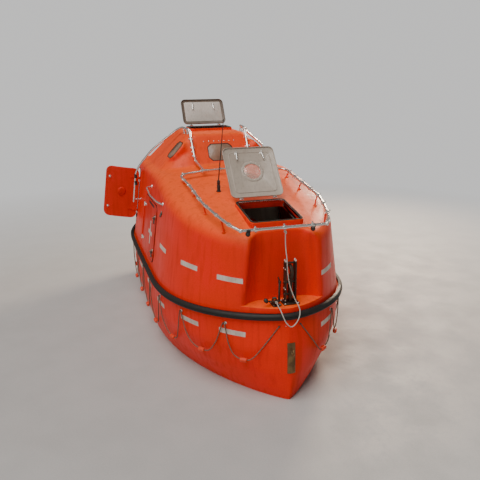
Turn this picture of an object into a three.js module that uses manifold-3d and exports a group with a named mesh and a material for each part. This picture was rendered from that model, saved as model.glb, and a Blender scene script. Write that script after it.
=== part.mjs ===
// Enclosed lifeboat, 5 m long. Millimetres, +X to the bow, +Y to port, +Z up.
// The origin lies on the centreline amidships, at the waterline.
import * as THREE from "three";
import { mergeVertices } from "three/addons/utils/BufferGeometryUtils.js";
import Module from "manifold-3d";

const wasm = await Module();
wasm.setup();

// Driving dimensions
const LENGTH = 5000;
const HALF = LENGTH / 2;
const GUNWALE = 800; // height of the joint between hull and canopy amidships
const SHEER = 110; // how much higher that joint is at the ends
const KEEL = -420;
const HULL_WALL = 36;
const CANOPY_WALL = 36;
const CANOPY_INSET = 15; // the canopy's foot stands this far inside the hull's edge
const GAP = 0.4; // between pieces that rest on each other
const JOINT_GAP = 0.8; // between hull and canopy, where the sealing strip is squeezed
const DOOR_GAP = 6; // round each door and lid
const DOOR_THICK = 24;

// Hull outlines, level by level. Each is straight amidships, and a rounded end closes it fore and aft:
// |dx / reach| ^ p + |y / half| ^ q = 1, where dx is measured from the end of the straight stretch.
const HULL_LEVELS = [
  { z: KEEL, half: 46, bow: 1740, bowFrom: 0, p: 2, q: 1, stern: -1100, sternFrom: -300, sp: 2, sq: 1 },
  { z: -300, half: 560, bow: 2250, bowFrom: 60, p: 2, q: 1.05, stern: -1460, sternFrom: -450, sp: 2, sq: 1.05 },
  { z: -200, half: 780, bow: 2400, bowFrom: 150, p: 2, q: 1.08, stern: -1660, sternFrom: -500, sp: 2, sq: 1.1 },
  { z: -80, half: 920, bow: 2500, bowFrom: 240, p: 2, q: 1.14, stern: -1930, sternFrom: -600, sp: 2, sq: 1.2 },
  { z: 60, half: 1000, bow: 2550, bowFrom: 320, p: 2.05, q: 1.24, stern: -2210, sternFrom: -760, sp: 2.1, sq: 1.3 },
  { z: 250, half: 1048, bow: 2565, bowFrom: 470, p: 2.2, q: 1.4, stern: -2350, sternFrom: -860, sp: 2.3, sq: 1.42 },
  { z: 480, half: 1068, bow: 2555, bowFrom: 620, p: 2.42, q: 1.52, stern: -2415, sternFrom: -940, sp: 2.4, sq: 1.54 },
  { z: GUNWALE, half: 1075, bow: 2510, bowFrom: 700, p: 2.53, q: 1.57, stern: -2435, sternFrom: -1000, sp: 2.5, sq: 1.6 },
];
const TOP_LEVEL = HULL_LEVELS[HULL_LEVELS.length - 1];
const FINE = { end: 11, straight: 3, shoulder: 4, deck: [0.3, 0.65, 1] };
const COARSE = { end: 6, straight: 1, shoulder: 2, deck: [0.5, 1] };

// Canopy form
const DECK_SLOPE = 0.154;
const DECK_AT = { x: 600, z: 1950 }; // a point of the foredeck's edge
const DECK_CAMBER = 60;
const SIDE_DECK = 1975; // edge height beside and behind the wheelhouse
const SIDE_LEAN = 0.125; // how far the side walls lean in, per unit of height
const SPINE = { fore: 1350, aft: -1350 };

// Wheelhouse: a truncated pyramid with rounded corners
const HOUSE_TOP = { z: 2430, fore: -200, aft: -1180, half: 400, round: 110 };
const HOUSE_FOOT = { z: 1860, fore: 190, aft: -1640, half: 932, round: 400 };
const HOUSE_ROOT = { z: 1660, fore: 90, aft: -1540, half: 850, round: 340 };
const HOUSE_CROWN = { z: 2452, fore: -380, aft: -1070, half: 220, round: 110 };

// Bow and stern niches
const NICHE = { wall: 2200, floor: 985, half: 250 };

// Hatches
const FORE_HATCH = { fore: 2135, aft: 1575, half: 264, coaming: 22, rim: 26, open: 138 };
const TOP_HATCH = { fore: -520, aft: -840, half: 276, coaming: 36, rim: 26, open: 122 };
const LID = { plate: 9, skirt: 14, wall: 7, over: 13, lift: 8, round: 62, hinge: 14 };
const PORTHOLE = { out: 285, radius: 108, ledge: 98 };

// Side doors: x from aft to fore, z from sill to head, and the edge that is hinged
const FORE_DOOR = { aft: -400, fore: 500, sill: 925, head: 1635, round: 90, hinge: "aft" };
const AFT_DOOR = { aft: -1610, fore: -1140, sill: 1120, head: 1850, round: 80, hinge: "fore" };
const DOOR_OPEN = 90; // degrees, the starboard aft door

const COLOURS = {
  orange: [0xe2481a, 0.42, 0],
  orangeDeep: [0xc93a14, 0.5, 0],
  liner: [0xcfc8b8, 0.6, 0],
  rubber: [0x17171a, 0.75, 0],
  steel: [0xb9bbb8, 0.28, 1],
  darkSteel: [0x3a3532, 0.5, 0.8],
  bronze: [0x8a6a3a, 0.45, 0.9],
  glass: [0x5c5a52, 0.15, 0],
  panel: [0xb5aea0, 0.5, 0],
  rope: [0xcdbfa8, 0.9, 0],
  white: [0xe6e2da, 0.85, 0],
  black: [0x101012, 0.5, 0],
};

// Geometry helpers
function closedGeometry(points, triangles) {
  const flat = [];
  for (const triangle of triangles) {
    const corners = triangle.map((index) => points[index]);
    const [a, b, c] = corners;
    if (a.distanceTo(b) < 0.01 || b.distanceTo(c) < 0.01 || c.distanceTo(a) < 0.01) continue;
    for (const corner of corners) flat.push(corner.x, corner.y, corner.z);
  }
  const geometry = new THREE.BufferGeometry();
  geometry.setAttribute("position", new THREE.Float32BufferAttribute(flat, 3));
  return geometry;
}

function solid(geometry) {
  const bare = geometry.index ? geometry.toNonIndexed() : geometry.clone();
  bare.deleteAttribute("normal");
  bare.deleteAttribute("uv");
  const merged = mergeVertices(bare, 1e-3);
  const mesh = new wasm.Mesh({
    numProp: 3,
    vertProperties: merged.attributes.position.array,
    triVerts: new Uint32Array(merged.index.array),
  });
  const made = new wasm.Manifold(mesh);
  return made;
}

function geometryOf(made) {
  const mesh = made.getMesh();
  const geometry = new THREE.BufferGeometry();
  geometry.setAttribute("position", new THREE.BufferAttribute(mesh.vertProperties, 3));
  geometry.setIndex(new THREE.BufferAttribute(mesh.triVerts, 1));
  const flat = geometry.toNonIndexed();
  flat.computeVertexNormals();
  return flat;
}

const join = (list) => list.reduce((whole, piece) => whole.add(piece));
const vec = (x, y, z) => new THREE.Vector3(x, y, z);

// Rings of equal length, mirrored about y = 0, joined by strips. Flat strips across close an end.
function loft(rings, { capFirst = true, capLast = true } = {}) {
  const count = rings[0].length;
  const points = rings.flat();
  const triangles = [];
  for (let row = 0; row + 1 < rings.length; row++) {
    for (let i = 0; i < count; i++) {
      const a = row * count + i;
      const b = row * count + ((i + 1) % count);
      triangles.push([a, b, a + count], [b, b + count, a + count]);
    }
  }
  const cap = (start, flip) => {
    for (let i = 0; i < count / 2; i++) {
      const far = (index) => start + ((count - index) % count);
      const quad = [start + i, start + i + 1, far(i + 1), far(i)];
      const [a, b, c, d] = flip ? [quad[3], quad[2], quad[1], quad[0]] : quad;
      triangles.push([a, c, b], [a, d, c]);
    }
  };
  if (capFirst) cap(0, false);
  if (capLast) cap((rings.length - 1) * count, true);
  return closedGeometry(points, triangles);
}

function box(size, centre, turn = [0, 0, 0]) {
  const geometry = new THREE.BoxGeometry(...size);
  const matrix = new THREE.Matrix4().makeRotationFromEuler(new THREE.Euler(...turn));
  matrix.setPosition(...centre);
  return solid(geometry.applyMatrix4(matrix));
}

function rod(from, to, radius, sides = 12, endRadius = radius) {
  const start = vec(...from);
  const end = vec(...to);
  const along = end.clone().sub(start);
  const geometry = new THREE.CylinderGeometry(endRadius, radius, along.length(), sides);
  geometry.translate(0, along.length() / 2, 0);
  const turn = new THREE.Quaternion().setFromUnitVectors(vec(0, 1, 0), along.normalize());
  geometry.applyQuaternion(turn);
  geometry.translate(start.x, start.y, start.z);
  return solid(geometry);
}

// A flat bar between two points: its narrow side is level, its broad side upright
function bar(from, to, thick, tall) {
  const along = vec(...to).sub(vec(...from));
  const level = vec(-along.y, along.x, 0).normalize();
  const upright = along.clone().normalize().cross(level);
  const geometry = new THREE.BoxGeometry(along.length(), thick, tall);
  const matrix = new THREE.Matrix4().makeBasis(along.clone().normalize(), level, upright);
  matrix.setPosition((from[0] + to[0]) / 2, (from[1] + to[1]) / 2, (from[2] + to[2]) / 2);
  return solid(geometry.applyMatrix4(matrix));
}

function ball(centre, radius, sides = 12) {
  const geometry = new THREE.SphereGeometry(radius, sides, Math.round(sides / 2));
  geometry.translate(...centre);
  return solid(geometry);
}

function circleShape(radius, sides) {
  const corners = [];
  for (let i = 0; i < sides; i++) {
    const angle = (2 * Math.PI * i) / sides;
    corners.push(new THREE.Vector2(radius * Math.cos(angle), radius * Math.sin(angle)));
  }
  return new THREE.Shape(corners);
}

function tubeOn(curve, radius, sides, steps) {
  return solid(new THREE.ExtrudeGeometry(circleShape(radius, sides), { steps, extrudePath: curve }));
}

// A pipe through the points, its corners rounded off, swept ring by ring with no twist
const BEND_STEPS = 2;

function roundedRun(points, bend) {
  const corners = points.map((point) => vec(...point));
  const run = [corners[0]];
  for (let i = 1; i + 1 < corners.length; i++) {
    const corner = corners[i];
    const back = corners[i - 1].clone().sub(corner);
    const on = corners[i + 1].clone().sub(corner);
    const cut = Math.min(bend, back.length() * 0.46, on.length() * 0.46);
    const enter = corner.clone().add(back.setLength(cut));
    const leave = corner.clone().add(on.setLength(cut));
    const arc = new THREE.QuadraticBezierCurve3(enter, corner, leave);
    for (let step = 0; step <= BEND_STEPS; step++) run.push(arc.getPoint(step / BEND_STEPS));
  }
  run.push(corners[corners.length - 1]);
  return run;
}

function pipe(points, radius, bend, sides = 8) {
  const run = roundedRun(points, bend);
  const rings = [];
  let across = null;
  for (let i = 0; i < run.length; i++) {
    const before = run[Math.max(0, i - 1)];
    const after = run[Math.min(run.length - 1, i + 1)];
    const along = after.clone().sub(before).normalize();
    across ??= vec(-along.z, along.x, along.y);
    across.addScaledVector(along, -across.dot(along)).normalize();
    const level = along.clone().cross(across);
    const ring = [];
    for (let j = 0; j < sides; j++) {
      const angle = (2 * Math.PI * j) / sides;
      const point = run[i].clone().addScaledVector(across, radius * Math.cos(angle));
      ring.push(point.addScaledVector(level, radius * Math.sin(angle)));
    }
    rings.push(ring);
  }
  return solid(convexLoft(rings));
}

function roundedRectangle(x0, y0, x1, y1, round) {
  const shape = new THREE.Shape();
  shape.moveTo(x0 + round, y0);
  shape.lineTo(x1 - round, y0);
  shape.absarc(x1 - round, y0 + round, round, -Math.PI / 2, 0);
  shape.lineTo(x1, y1 - round);
  shape.absarc(x1 - round, y1 - round, round, 0, Math.PI / 2);
  shape.lineTo(x0 + round, y1);
  shape.absarc(x0 + round, y1 - round, round, Math.PI / 2, Math.PI);
  shape.lineTo(x0, y0 + round);
  shape.absarc(x0 + round, y0 + round, round, Math.PI, 1.5 * Math.PI);
  return shape;
}

function plate(shape, depth, curveSegments = 4) {
  return new THREE.ExtrudeGeometry(shape, { depth, bevelEnabled: false, curveSegments });
}

// Outlines in plan
const power = (value, exponent) => Math.sign(value) * Math.abs(value) ** exponent;

function sheerAt(x, z) {
  const share = Math.max(0, Math.min(1, (z - KEEL) / (GUNWALE - KEEL)));
  return SHEER * (x / HALF) ** 2 * share;
}

function outline(level, inset = 0, grain = FINE) {
  const side = [];
  const half = level.half - inset;
  const bowReach = level.bow - inset - level.bowFrom;
  const sternReach = level.sternFrom - level.stern - inset;
  for (let i = 0; i <= grain.end; i++) {
    const angle = (Math.PI / 2) * (i / grain.end);
    const x = level.bowFrom + bowReach * power(Math.cos(angle), 2 / level.p);
    side.push([x, half * power(Math.sin(angle), 2 / level.q)]);
  }
  for (let i = 1; i <= grain.straight; i++) {
    const share = i / grain.straight;
    side.push([level.bowFrom + (level.sternFrom - level.bowFrom) * share, half]);
  }
  for (let i = 1; i <= grain.end; i++) {
    const angle = (Math.PI / 2) * (1 - i / grain.end);
    const x = level.sternFrom - sternReach * power(Math.cos(angle), 2 / level.sp);
    side.push([x, half * power(Math.sin(angle), 2 / level.sq)]);
  }
  side[0][1] = 0;
  side[side.length - 1][1] = 0;
  const mirrored = side.slice(1, -1).reverse();
  return [...side, ...mirrored.map(([x, y]) => [x, -y])];
}

function levelRing(level, inset = 0, lift = 0, grain = FINE) {
  return outline(level, inset, grain).map(([x, y]) => vec(x, y, level.z + lift + sheerAt(x, level.z)));
}

// Hull
function hullBody(inset, levels, topLift, grain = FINE) {
  const rings = levels.map((level, i) => {
    const lift = i === levels.length - 1 ? topLift : 0;
    return levelRing(level, inset, lift, grain);
  });
  return solid(loft(rings));
}

const hullHollow = (extra) => hullBody(HULL_WALL + extra, HULL_LEVELS.slice(1), 30, COARSE);

function hull() {
  const shell = hullBody(0, HULL_LEVELS, 0).subtract(hullHollow(0));
  const bore = rod([SHAFT.aft, 0, SHAFT.z], [SHAFT.fore - 20, 0, SHAFT.z], SHAFT.radius + GAP, 16);
  const stockBore = rod([NOZZLE.x, 0, -90], [NOZZLE.x, 0, 160], NOZZLE.stock + NOZZLE.play, NOZZLE.sides);
  return shell.add(skeg()).subtract(bore).subtract(stockBore);
}

const SKEG = { fore: -450, heel: -1780, tip: -2200, foot: -470, shoe: 28, half: 34 };
const SHAFT = { z: -250, aft: -2170, fore: -1350, radius: 19 };
const NOZZLE = { x: -2110, inner: 174, outer: 192, half: 75, stock: 20, play: 0.9, sides: 20 };

// The skeg carries the shaft, and its shoe runs aft under the steering nozzle
function skeg() {
  const shape = new THREE.Shape();
  shape.moveTo(SKEG.fore, KEEL + 30);
  shape.lineTo(-900, SKEG.foot - SKEG.shoe);
  shape.lineTo(SKEG.tip, SKEG.foot - SKEG.shoe);
  shape.lineTo(SKEG.tip, SKEG.foot);
  shape.lineTo(SKEG.heel - 40, SKEG.foot);
  shape.lineTo(SKEG.heel, SKEG.foot + 60);
  shape.lineTo(SKEG.heel - 20, -118);
  shape.lineTo(-1300, -330);
  shape.lineTo(-900, -330);
  const fin = plate(shape, 2 * SKEG.half);
  fin.translate(0, 0, -SKEG.half);
  fin.rotateX(Math.PI / 2);
  return solid(fin);
}

// Canopy
function deckEdge(x) {
  const fore = DECK_AT.z - DECK_SLOPE * (x - DECK_AT.x);
  const blend = THREE.MathUtils.smoothstep(x, -300, 600);
  const aftDrop = 0.55 * Math.max(0, -1700 - x);
  return (SIDE_DECK - aftDrop) * (1 - blend) + fore * blend;
}

function shoulder(x, y) {
  const outboard = Math.min(1, Math.abs(y) / 850);
  const wide = THREE.MathUtils.smoothstep(x, -400, 500);
  const side = 90 + 75 * wide;
  return 85 + (side - 85) * outboard;
}

function lean(y) {
  return SIDE_LEAN * THREE.MathUtils.smoothstep(Math.abs(y), 250, 950);
}

// One column of the canopy: up the wall, round the shoulder and over the deck to the spine
function canopyColumn([footX, footY], inset, grain) {
  const spineX = Math.max(SPINE.aft, Math.min(SPINE.fore, footX));
  const toSpine = new THREE.Vector2(spineX - footX, -footY);
  const reach = toSpine.length();
  toSpine.normalize();
  const at = (distance) => [footX + toSpine.x * distance, footY + toSpine.y * distance];
  const foot = GUNWALE + JOINT_GAP + sheerAt(footX, GUNWALE);
  const radius = Math.max(30, shoulder(footX, footY) - inset);
  const leanIn = lean(footY);
  const tilt = Math.atan(leanIn);
  const top = deckEdge(footX) - inset;
  const wallTop = top - radius * (1 - Math.sin(tilt));
  const column = [];
  for (const share of [0, 0.5, 1]) {
    const z = foot + (wallTop - foot) * share;
    const [x, y] = at(leanIn * (z - foot));
    column.push(vec(x, y, z));
  }
  const wallIn = leanIn * (wallTop - foot);
  for (let i = 1; i <= grain.shoulder; i++) {
    const angle = tilt + (Math.PI / 2 - tilt) * (i / grain.shoulder);
    const [x, y] = at(wallIn + radius * (Math.cos(tilt) - Math.cos(angle)));
    const slope = deckEdge(x) - deckEdge(footX);
    column.push(vec(x, y, top + slope * (i / grain.shoulder) - radius * (1 - Math.sin(angle))));
  }
  const edgeIn = wallIn + radius * Math.cos(tilt);
  for (const share of grain.deck) {
    const [x, y] = at(edgeIn + (reach - edgeIn) * share);
    const camber = DECK_CAMBER * (1 - (1 - share) ** 2);
    column.push(vec(x, y, deckEdge(x) - inset + camber));
  }
  return column;
}

function canopyForm(inset, footDrop = 0) {
  const grain = inset ? COARSE : FINE;
  const feet = outline(TOP_LEVEL, CANOPY_INSET + inset, grain);
  const columns = feet.map((foot) => canopyColumn(foot, inset, grain));
  const rings = columns[0].map((_, row) => columns.map((column) => column[row].clone()));
  if (footDrop) rings.unshift(rings[0].map((point) => vec(point.x, point.y, point.z - footDrop)));
  return solid(loft(rings, { capLast: false }));
}

function roundedRing({ z, fore, aft, half, round }, inset) {
  const ring = [];
  const corners = [
    [fore - inset, half - inset, 0],
    [aft + inset, half - inset, 90],
    [aft + inset, -half + inset, 180],
    [fore - inset, -half + inset, 270],
  ];
  for (const [x, y, start] of corners) {
    for (let i = 0; i <= 4; i++) {
      const angle = THREE.MathUtils.degToRad(start + 22.5 * i);
      const cx = x - round * Math.sign(x - (fore + aft) / 2);
      const cy = y - round * Math.sign(y);
      ring.push(vec(cx + round * Math.cos(angle), cy + round * Math.sin(angle), z - inset));
    }
  }
  return ring;
}

function houseForm(inset) {
  const rings = [HOUSE_ROOT, HOUSE_FOOT, HOUSE_TOP, HOUSE_CROWN].map((level) => roundedRing(level, inset));
  return solid(convexLoft(rings));
}

// Rings with no mirror pairs, closed by a fan at each end
function convexLoft(rings) {
  const count = rings[0].length;
  const centre = (ring) => ring.reduce((sum, p) => sum.add(p), vec(0, 0, 0)).divideScalar(count);
  const points = [...rings.flat(), centre(rings[0]), centre(rings[rings.length - 1])];
  const low = points.length - 2;
  const high = points.length - 1;
  const last = (rings.length - 1) * count;
  const triangles = [];
  for (let i = 0; i < count; i++) {
    const next = (i + 1) % count;
    for (let row = 0; row + 1 < rings.length; row++) {
      const a = row * count + i;
      const b = row * count + next;
      triangles.push([a, b, a + count], [b, b + count, a + count]);
    }
    triangles.push([low, next, i], [high, last + i, last + next]);
  }
  return closedGeometry(points, triangles);
}

function nicheTool(grow) {
  const { wall, half, floor } = NICHE;
  const side = [
    [wall, half],
    [wall + 30, half + 58],
    [wall + 105, half + 122],
    [wall + 220, half + 232],
    [wall + 420, half + 420],
  ];
  const corners = [...side, ...side.slice().reverse().map(([x, y]) => [x, -y])];
  const shape = new THREE.Shape(corners.map(([x, y]) => {
    const sideways = Math.sign(y) * grow;
    return new THREE.Vector2(x - grow, y + sideways);
  }));
  const tool = plate(shape, 1600);
  tool.translate(0, 0, floor - grow);
  return solid(tool);
}

const mirrorX = (made) => made.mirror([1, 0, 0]);
const mirrorY = (made) => made.mirror([0, 1, 0]);

function canopySolid(inset, footDrop = 0) {
  const body = canopyForm(inset, footDrop).add(houseForm(inset));
  const niche = nicheTool(inset);
  return body.subtract(niche).subtract(mirrorX(niche));
}

// Frames of the two hatches: x forward along the deck, z out of it
const deckTilt = Math.atan(DECK_SLOPE);
function onForeDeck(made) {
  const x = FORE_HATCH.aft;
  const matrix = new THREE.Matrix4().makeRotationY(deckTilt);
  matrix.setPosition(x, 0, deckEdge(x) + DECK_CAMBER * 0.9);
  return made.transform(matrix.elements);
}

function onRoof(made) {
  return made.translate([TOP_HATCH.aft, 0, HOUSE_TOP.z + 14]);
}

const hatchSpan = (hatch) => hatch.fore - hatch.aft;

// A slab over a hatch, in the hatch's frame, reaching past the opening by the margin
function hatchSlab(hatch, margin, round, from, to) {
  const { half } = hatch;
  const shape = roundedRectangle(-margin, -half - margin, hatchSpan(hatch) + margin, half + margin, round);
  const slab = plate(shape, to - from, 3);
  slab.translate(0, 0, from);
  return solid(slab);
}

const lidHinge = (hatch) => ({
  x: -hatch.rim - LID.over - LID.hinge,
  z: hatch.coaming + LID.lift + 4,
});
const KNUCKLES = [-1, 1];

function coaming(hatch) {
  const { x, z } = lidHinge(hatch);
  const lugs = KNUCKLES.flatMap((side) => [-18.4, 18.4].map((shift) => {
    const y = side * (hatch.half - 70) + shift;
    return box([22, 10, z + 60], [x, y, z / 2 - 24]);
  }));
  return join([hatchSlab(hatch, hatch.rim, 56, -60, hatch.coaming), ...lugs]);
}

function hatchHole(hatch) {
  return hatchSlab(hatch, 0, 40, -300, 200);
}

function seal(hatch) {
  const low = hatch.coaming + GAP;
  const ring = hatchSlab(hatch, hatch.rim - 6, 52, low, low + LID.lift - 1.2);
  return ring.subtract(hatchSlab(hatch, 4, 43, 0, 200));
}

// A lid, closed, in its hatch's frame
function lid(hatch) {
  const base = hatch.coaming + LID.lift;
  const margin = hatch.rim + LID.over;
  let pan = hatchSlab(hatch, margin, LID.round, base - LID.skirt, base + LID.plate);
  pan = pan.subtract(hatchSlab(hatch, margin - LID.wall, LID.round - LID.wall, -100, base));
  const { x, z } = lidHinge(hatch);
  const parts = [pan];
  for (const side of KNUCKLES) {
    const y = side * (hatch.half - 70);
    parts.push(rod([x, y - 13, z], [x, y + 13, z], 9, 8));
    parts.push(box([LID.hinge + 22, 22, 8], [x + (LID.hinge + 22) / 2, y, base + LID.plate + 1]));
    const dogX = hatchSpan(hatch) - 34;
    const dogY = side * 150;
    parts.push(rod([dogX, dogY, base - 26], [dogX, dogY, base + LID.plate + 22], 11, 8));
    parts.push(bar([dogX, dogY, base - 22], [dogX - 92, dogY + side * 8, base - 26], 18, 9));
    parts.push(bar([dogX, dogY, base + 28], [dogX - 70, dogY, base + 30], 16, 9));
  }
  return join(parts);
}

function glazedLid(hatch) {
  const base = hatch.coaming + LID.lift;
  const { out, radius, ledge } = PORTHOLE;
  const ring = rod([out, 0, base + 2], [out, 0, base + LID.plate + 6], radius + 16, 24);
  const through = rod([out, 0, base - 40], [out, 0, base + 60], ledge, 24);
  const seat = rod([out, 0, base + 2], [out, 0, base + 60], radius, 24);
  return lid(hatch).add(ring).subtract(through).subtract(seat);
}

function porthole(hatch) {
  const base = hatch.coaming + LID.lift;
  const { out, radius } = PORTHOLE;
  return rod([out, 0, base + 2 + GAP], [out, 0, base + LID.plate + 3], radius - GAP, 24);
}

function opened(made, hatch) {
  const { x, z } = lidHinge(hatch);
  return made.translate([-x, 0, -z]).rotate([0, -hatch.open, 0]).translate([x, 0, z]);
}

// Windows in the wheelhouse: a frame (x across, y up the slope, z out) on each face
const WINDOW = { cut: 50, ledge: 14, glass: 8 };
const WINDOW_PLACES = [
  { name: "window_front", at: [-45, 0, 2205], face: "fore", skew: 0, wide: 340, tall: 250 },
  { name: "window_aft", at: [-1470, 0, 2205], face: "aft", skew: 0, wide: 340, tall: 250 },
  { name: "window_side_starboard", at: [-232, 0, 2237], face: "starboard", skew: 0.06, wide: 290, tall: 265 },
  { name: "window_side_port", at: [-232, 0, 2237], face: "port", skew: 0.06, wide: 290, tall: 265 },
];

const houseRise = HOUSE_TOP.z - HOUSE_FOOT.z;
const FACES = {
  fore: { across: [0, 1, 0], up: [HOUSE_TOP.fore - HOUSE_FOOT.fore, 0, houseRise] },
  aft: { across: [0, -1, 0], up: [HOUSE_TOP.aft - HOUSE_FOOT.aft, 0, houseRise] },
  starboard: { across: [1, 0, 0], up: [0, HOUSE_FOOT.half - HOUSE_TOP.half, houseRise] },
  port: { across: [-1, 0, 0], up: [0, HOUSE_TOP.half - HOUSE_FOOT.half, houseRise] },
};

// The point of the wheelhouse's face under a window's centre
function facePoint(place) {
  const share = (place.at[2] - HOUSE_FOOT.z) / houseRise;
  const fore = HOUSE_FOOT.fore + (HOUSE_TOP.fore - HOUSE_FOOT.fore) * share;
  const aft = HOUSE_FOOT.aft + (HOUSE_TOP.aft - HOUSE_FOOT.aft) * share;
  const half = HOUSE_FOOT.half + (HOUSE_TOP.half - HOUSE_FOOT.half) * share;
  const [x, y, z] = place.at;
  const spots = { fore: [fore, y, z], aft: [aft, y, z], starboard: [x, -half, z], port: [x, half, z] };
  return spots[place.face];
}

function windowPrism(place, shrink, from, to) {
  const wide = place.wide / 2 - shrink;
  const tall = place.tall / 2 - shrink;
  const cut = WINDOW.cut - shrink * 0.4;
  const lean = place.skew * (place.face === "port" ? 1 : -1);
  const corners = [
    [-wide + cut, -tall],
    [wide - cut, -tall],
    [wide, -tall + cut],
    [wide, tall - cut],
    [wide - cut, tall],
    [-wide + cut, tall],
    [-wide, tall - cut],
    [-wide, -tall + cut],
  ];
  const shape = new THREE.Shape(corners.map(([x, y]) => new THREE.Vector2(x + lean * y, y)));
  const prism = plate(shape, to - from);
  prism.translate(0, 0, from);
  const across = vec(...FACES[place.face].across);
  const up = vec(...FACES[place.face].up).normalize();
  const out = across.clone().cross(up);
  const matrix = new THREE.Matrix4().makeBasis(across, up, out);
  matrix.setPosition(...facePoint(place));
  return solid(prism.applyMatrix4(matrix));
}

// Side doors
function doorPrism(door, grow) {
  const { aft, fore, sill, head, round } = door;
  const shape = roundedRectangle(aft - grow, sill - grow, fore + grow, head + grow, round + grow);
  const prism = plate(shape, 700, 3);
  prism.rotateX(Math.PI / 2);
  prism.translate(0, -600, 0);
  return solid(prism);
}

const LIP = 22; // the frame shows this far inside the door's edge
const SEAT = DOOR_THICK + DOOR_GAP; // depth of the seat that the door closes on

const canopyOuter = canopySolid(0);
const canopyAtDoorBack = canopySolid(DOOR_THICK, 100);
const canopyAtSeat = canopySolid(SEAT, 100);
const canopyInner = canopySolid(CANOPY_WALL + 6, 100);

function doorCuts(door) {
  const seat = doorPrism(door, DOOR_GAP).subtract(canopyAtSeat);
  return seat.add(doorPrism(door, -LIP));
}

// A point of the canopy's wall at a given x and z, on the starboard side
function wallPoint(x, z, out = 0) {
  const half = halfOf(TOP_LEVEL, x, CANOPY_INSET);
  const foot = GUNWALE + sheerAt(x, GUNWALE);
  return [x, -(half - SIDE_LEAN * (z - foot) + out), z];
}

function halfOf(level, x, inset = 0) {
  const half = level.half - inset;
  if (x > level.bowFrom) {
    const t = (x - level.bowFrom) / (level.bow - inset - level.bowFrom);
    return half * (1 - t ** level.p) ** (1 / level.q);
  }
  if (x < level.sternFrom) {
    const t = (level.sternFrom - x) / (level.sternFrom - level.stern - inset);
    return half * (1 - t ** level.sp) ** (1 / level.sq);
  }
  return half;
}

function hingeLine(door) {
  const x = door.hinge === "aft" ? door.aft : door.fore;
  const low = wallPoint(x, door.sill + 60, 16);
  const high = wallPoint(x, door.head - 60, 16);
  return { low: vec(...low), high: vec(...high) };
}

function doorPanel(door) {
  const skin = canopyOuter.subtract(canopyAtDoorBack);
  const prism = doorPrism(door, 0);
  return skin.intersect(prism).subtract(canopyAtSeat.translate([0, -1.5, 2]));
}

const HINGE_SPOTS = [0.08, 0.86];
const HINGE_LUG = { tall: 26, under: 1.75 };

function hingePins(door) {
  const { low, high } = hingeLine(door);
  const inward = door.hinge === "aft" ? 1 : -1;
  const knuckles = HINGE_SPOTS.map((share) => {
    const from = low.clone().lerp(high, share);
    const to = low.clone().lerp(high, share + 0.06);
    const knuckle = rod(from.toArray(), to.toArray(), 11, 8);
    const mid = from.clone().lerp(to, 0.5);
    const seat = wallPoint(mid.x + inward * 70, mid.z, 1);
    return knuckle.add(bar(mid.toArray(), seat, 10, 34));
  });
  return knuckles;
}

// The canopy's halves of the hinges: a lug under each knuckle
function hingeLugs(door) {
  const { low, high } = hingeLine(door);
  const inward = door.hinge === "aft" ? 1 : -1;
  const { tall, under } = HINGE_LUG;
  return HINGE_SPOTS.map((spot) => {
    const knuckle = low.clone().lerp(high, spot);
    const z = knuckle.z - under - tall / 2;
    const seat = wallPoint(knuckle.x - inward * 46, z, -6);
    return bar([knuckle.x + inward * 9, knuckle.y, z], [seat[0], seat[1], z], 16, tall);
  });
}

function dogs(door) {
  const free = door.hinge === "aft" ? door.fore : door.aft;
  const inward = door.hinge === "aft" ? -1 : 1;
  return [0.2, 0.8].map((share) => {
    const z = door.sill + (door.head - door.sill) * share;
    const x = free + inward * 52;
    const seat = wallPoint(x, z, -14);
    const tip = wallPoint(x, z, 34);
    const spindle = rod(seat, tip, 14, 8);
    const handle = rod([tip[0], tip[1] + 8, tip[2]], [x + inward * 70, tip[1] + 2, z - 40], 8, 8);
    return spindle.add(handle);
  });
}

function sideDoor(door) {
  return join([doorPanel(door), ...hingePins(door), ...dogs(door)]);
}

// A boss in the middle of the aft doors
function doorBoss(door) {
  const x = (door.aft + door.fore) / 2;
  const z = (door.sill + door.head) / 2 + 20;
  return rod(wallPoint(x, z, -20), wallPoint(x, z, 24), 62, 16, 44);
}

function turned(made, line, degrees) {
  const axis = line.high.clone().sub(line.low).normalize();
  const turn = new THREE.Matrix4().makeRotationAxis(axis, THREE.MathUtils.degToRad(degrees));
  const matrix = new THREE.Matrix4().makeTranslation(line.low.x, line.low.y, line.low.z);
  matrix.multiply(turn);
  matrix.multiply(new THREE.Matrix4().makeTranslation(-line.low.x, -line.low.y, -line.low.z));
  return made.transform(matrix.elements);
}

function canopy() {
  let shell = canopyOuter.subtract(canopyInner);
  shell = shell.add(onForeDeck(coaming(FORE_HATCH))).add(onRoof(coaming(TOP_HATCH)));
  shell = shell.subtract(onForeDeck(hatchHole(FORE_HATCH))).subtract(onRoof(hatchHole(TOP_HATCH)));
  for (const door of [FORE_DOOR, AFT_DOOR]) {
    const cuts = doorCuts(door);
    const lugs = join(hingeLugs(door));
    shell = shell.subtract(cuts).subtract(mirrorY(cuts)).add(lugs).add(mirrorY(lugs));
  }
  for (const place of WINDOW_PLACES) {
    shell = shell.subtract(windowPrism(place, 0, -WINDOW.glass - 2, 80));
    shell = shell.subtract(windowPrism(place, WINDOW.ledge, -120, 80));
  }
  return shell;
}

// Fender: a rubber section swept round the gunwale
const FENDER_SECTION = [
  [1, -35],
  [28, -32],
  [41, -19],
  [45, 0],
  [41, 19],
  [28, 32],
  [1, 35],
];

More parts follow.
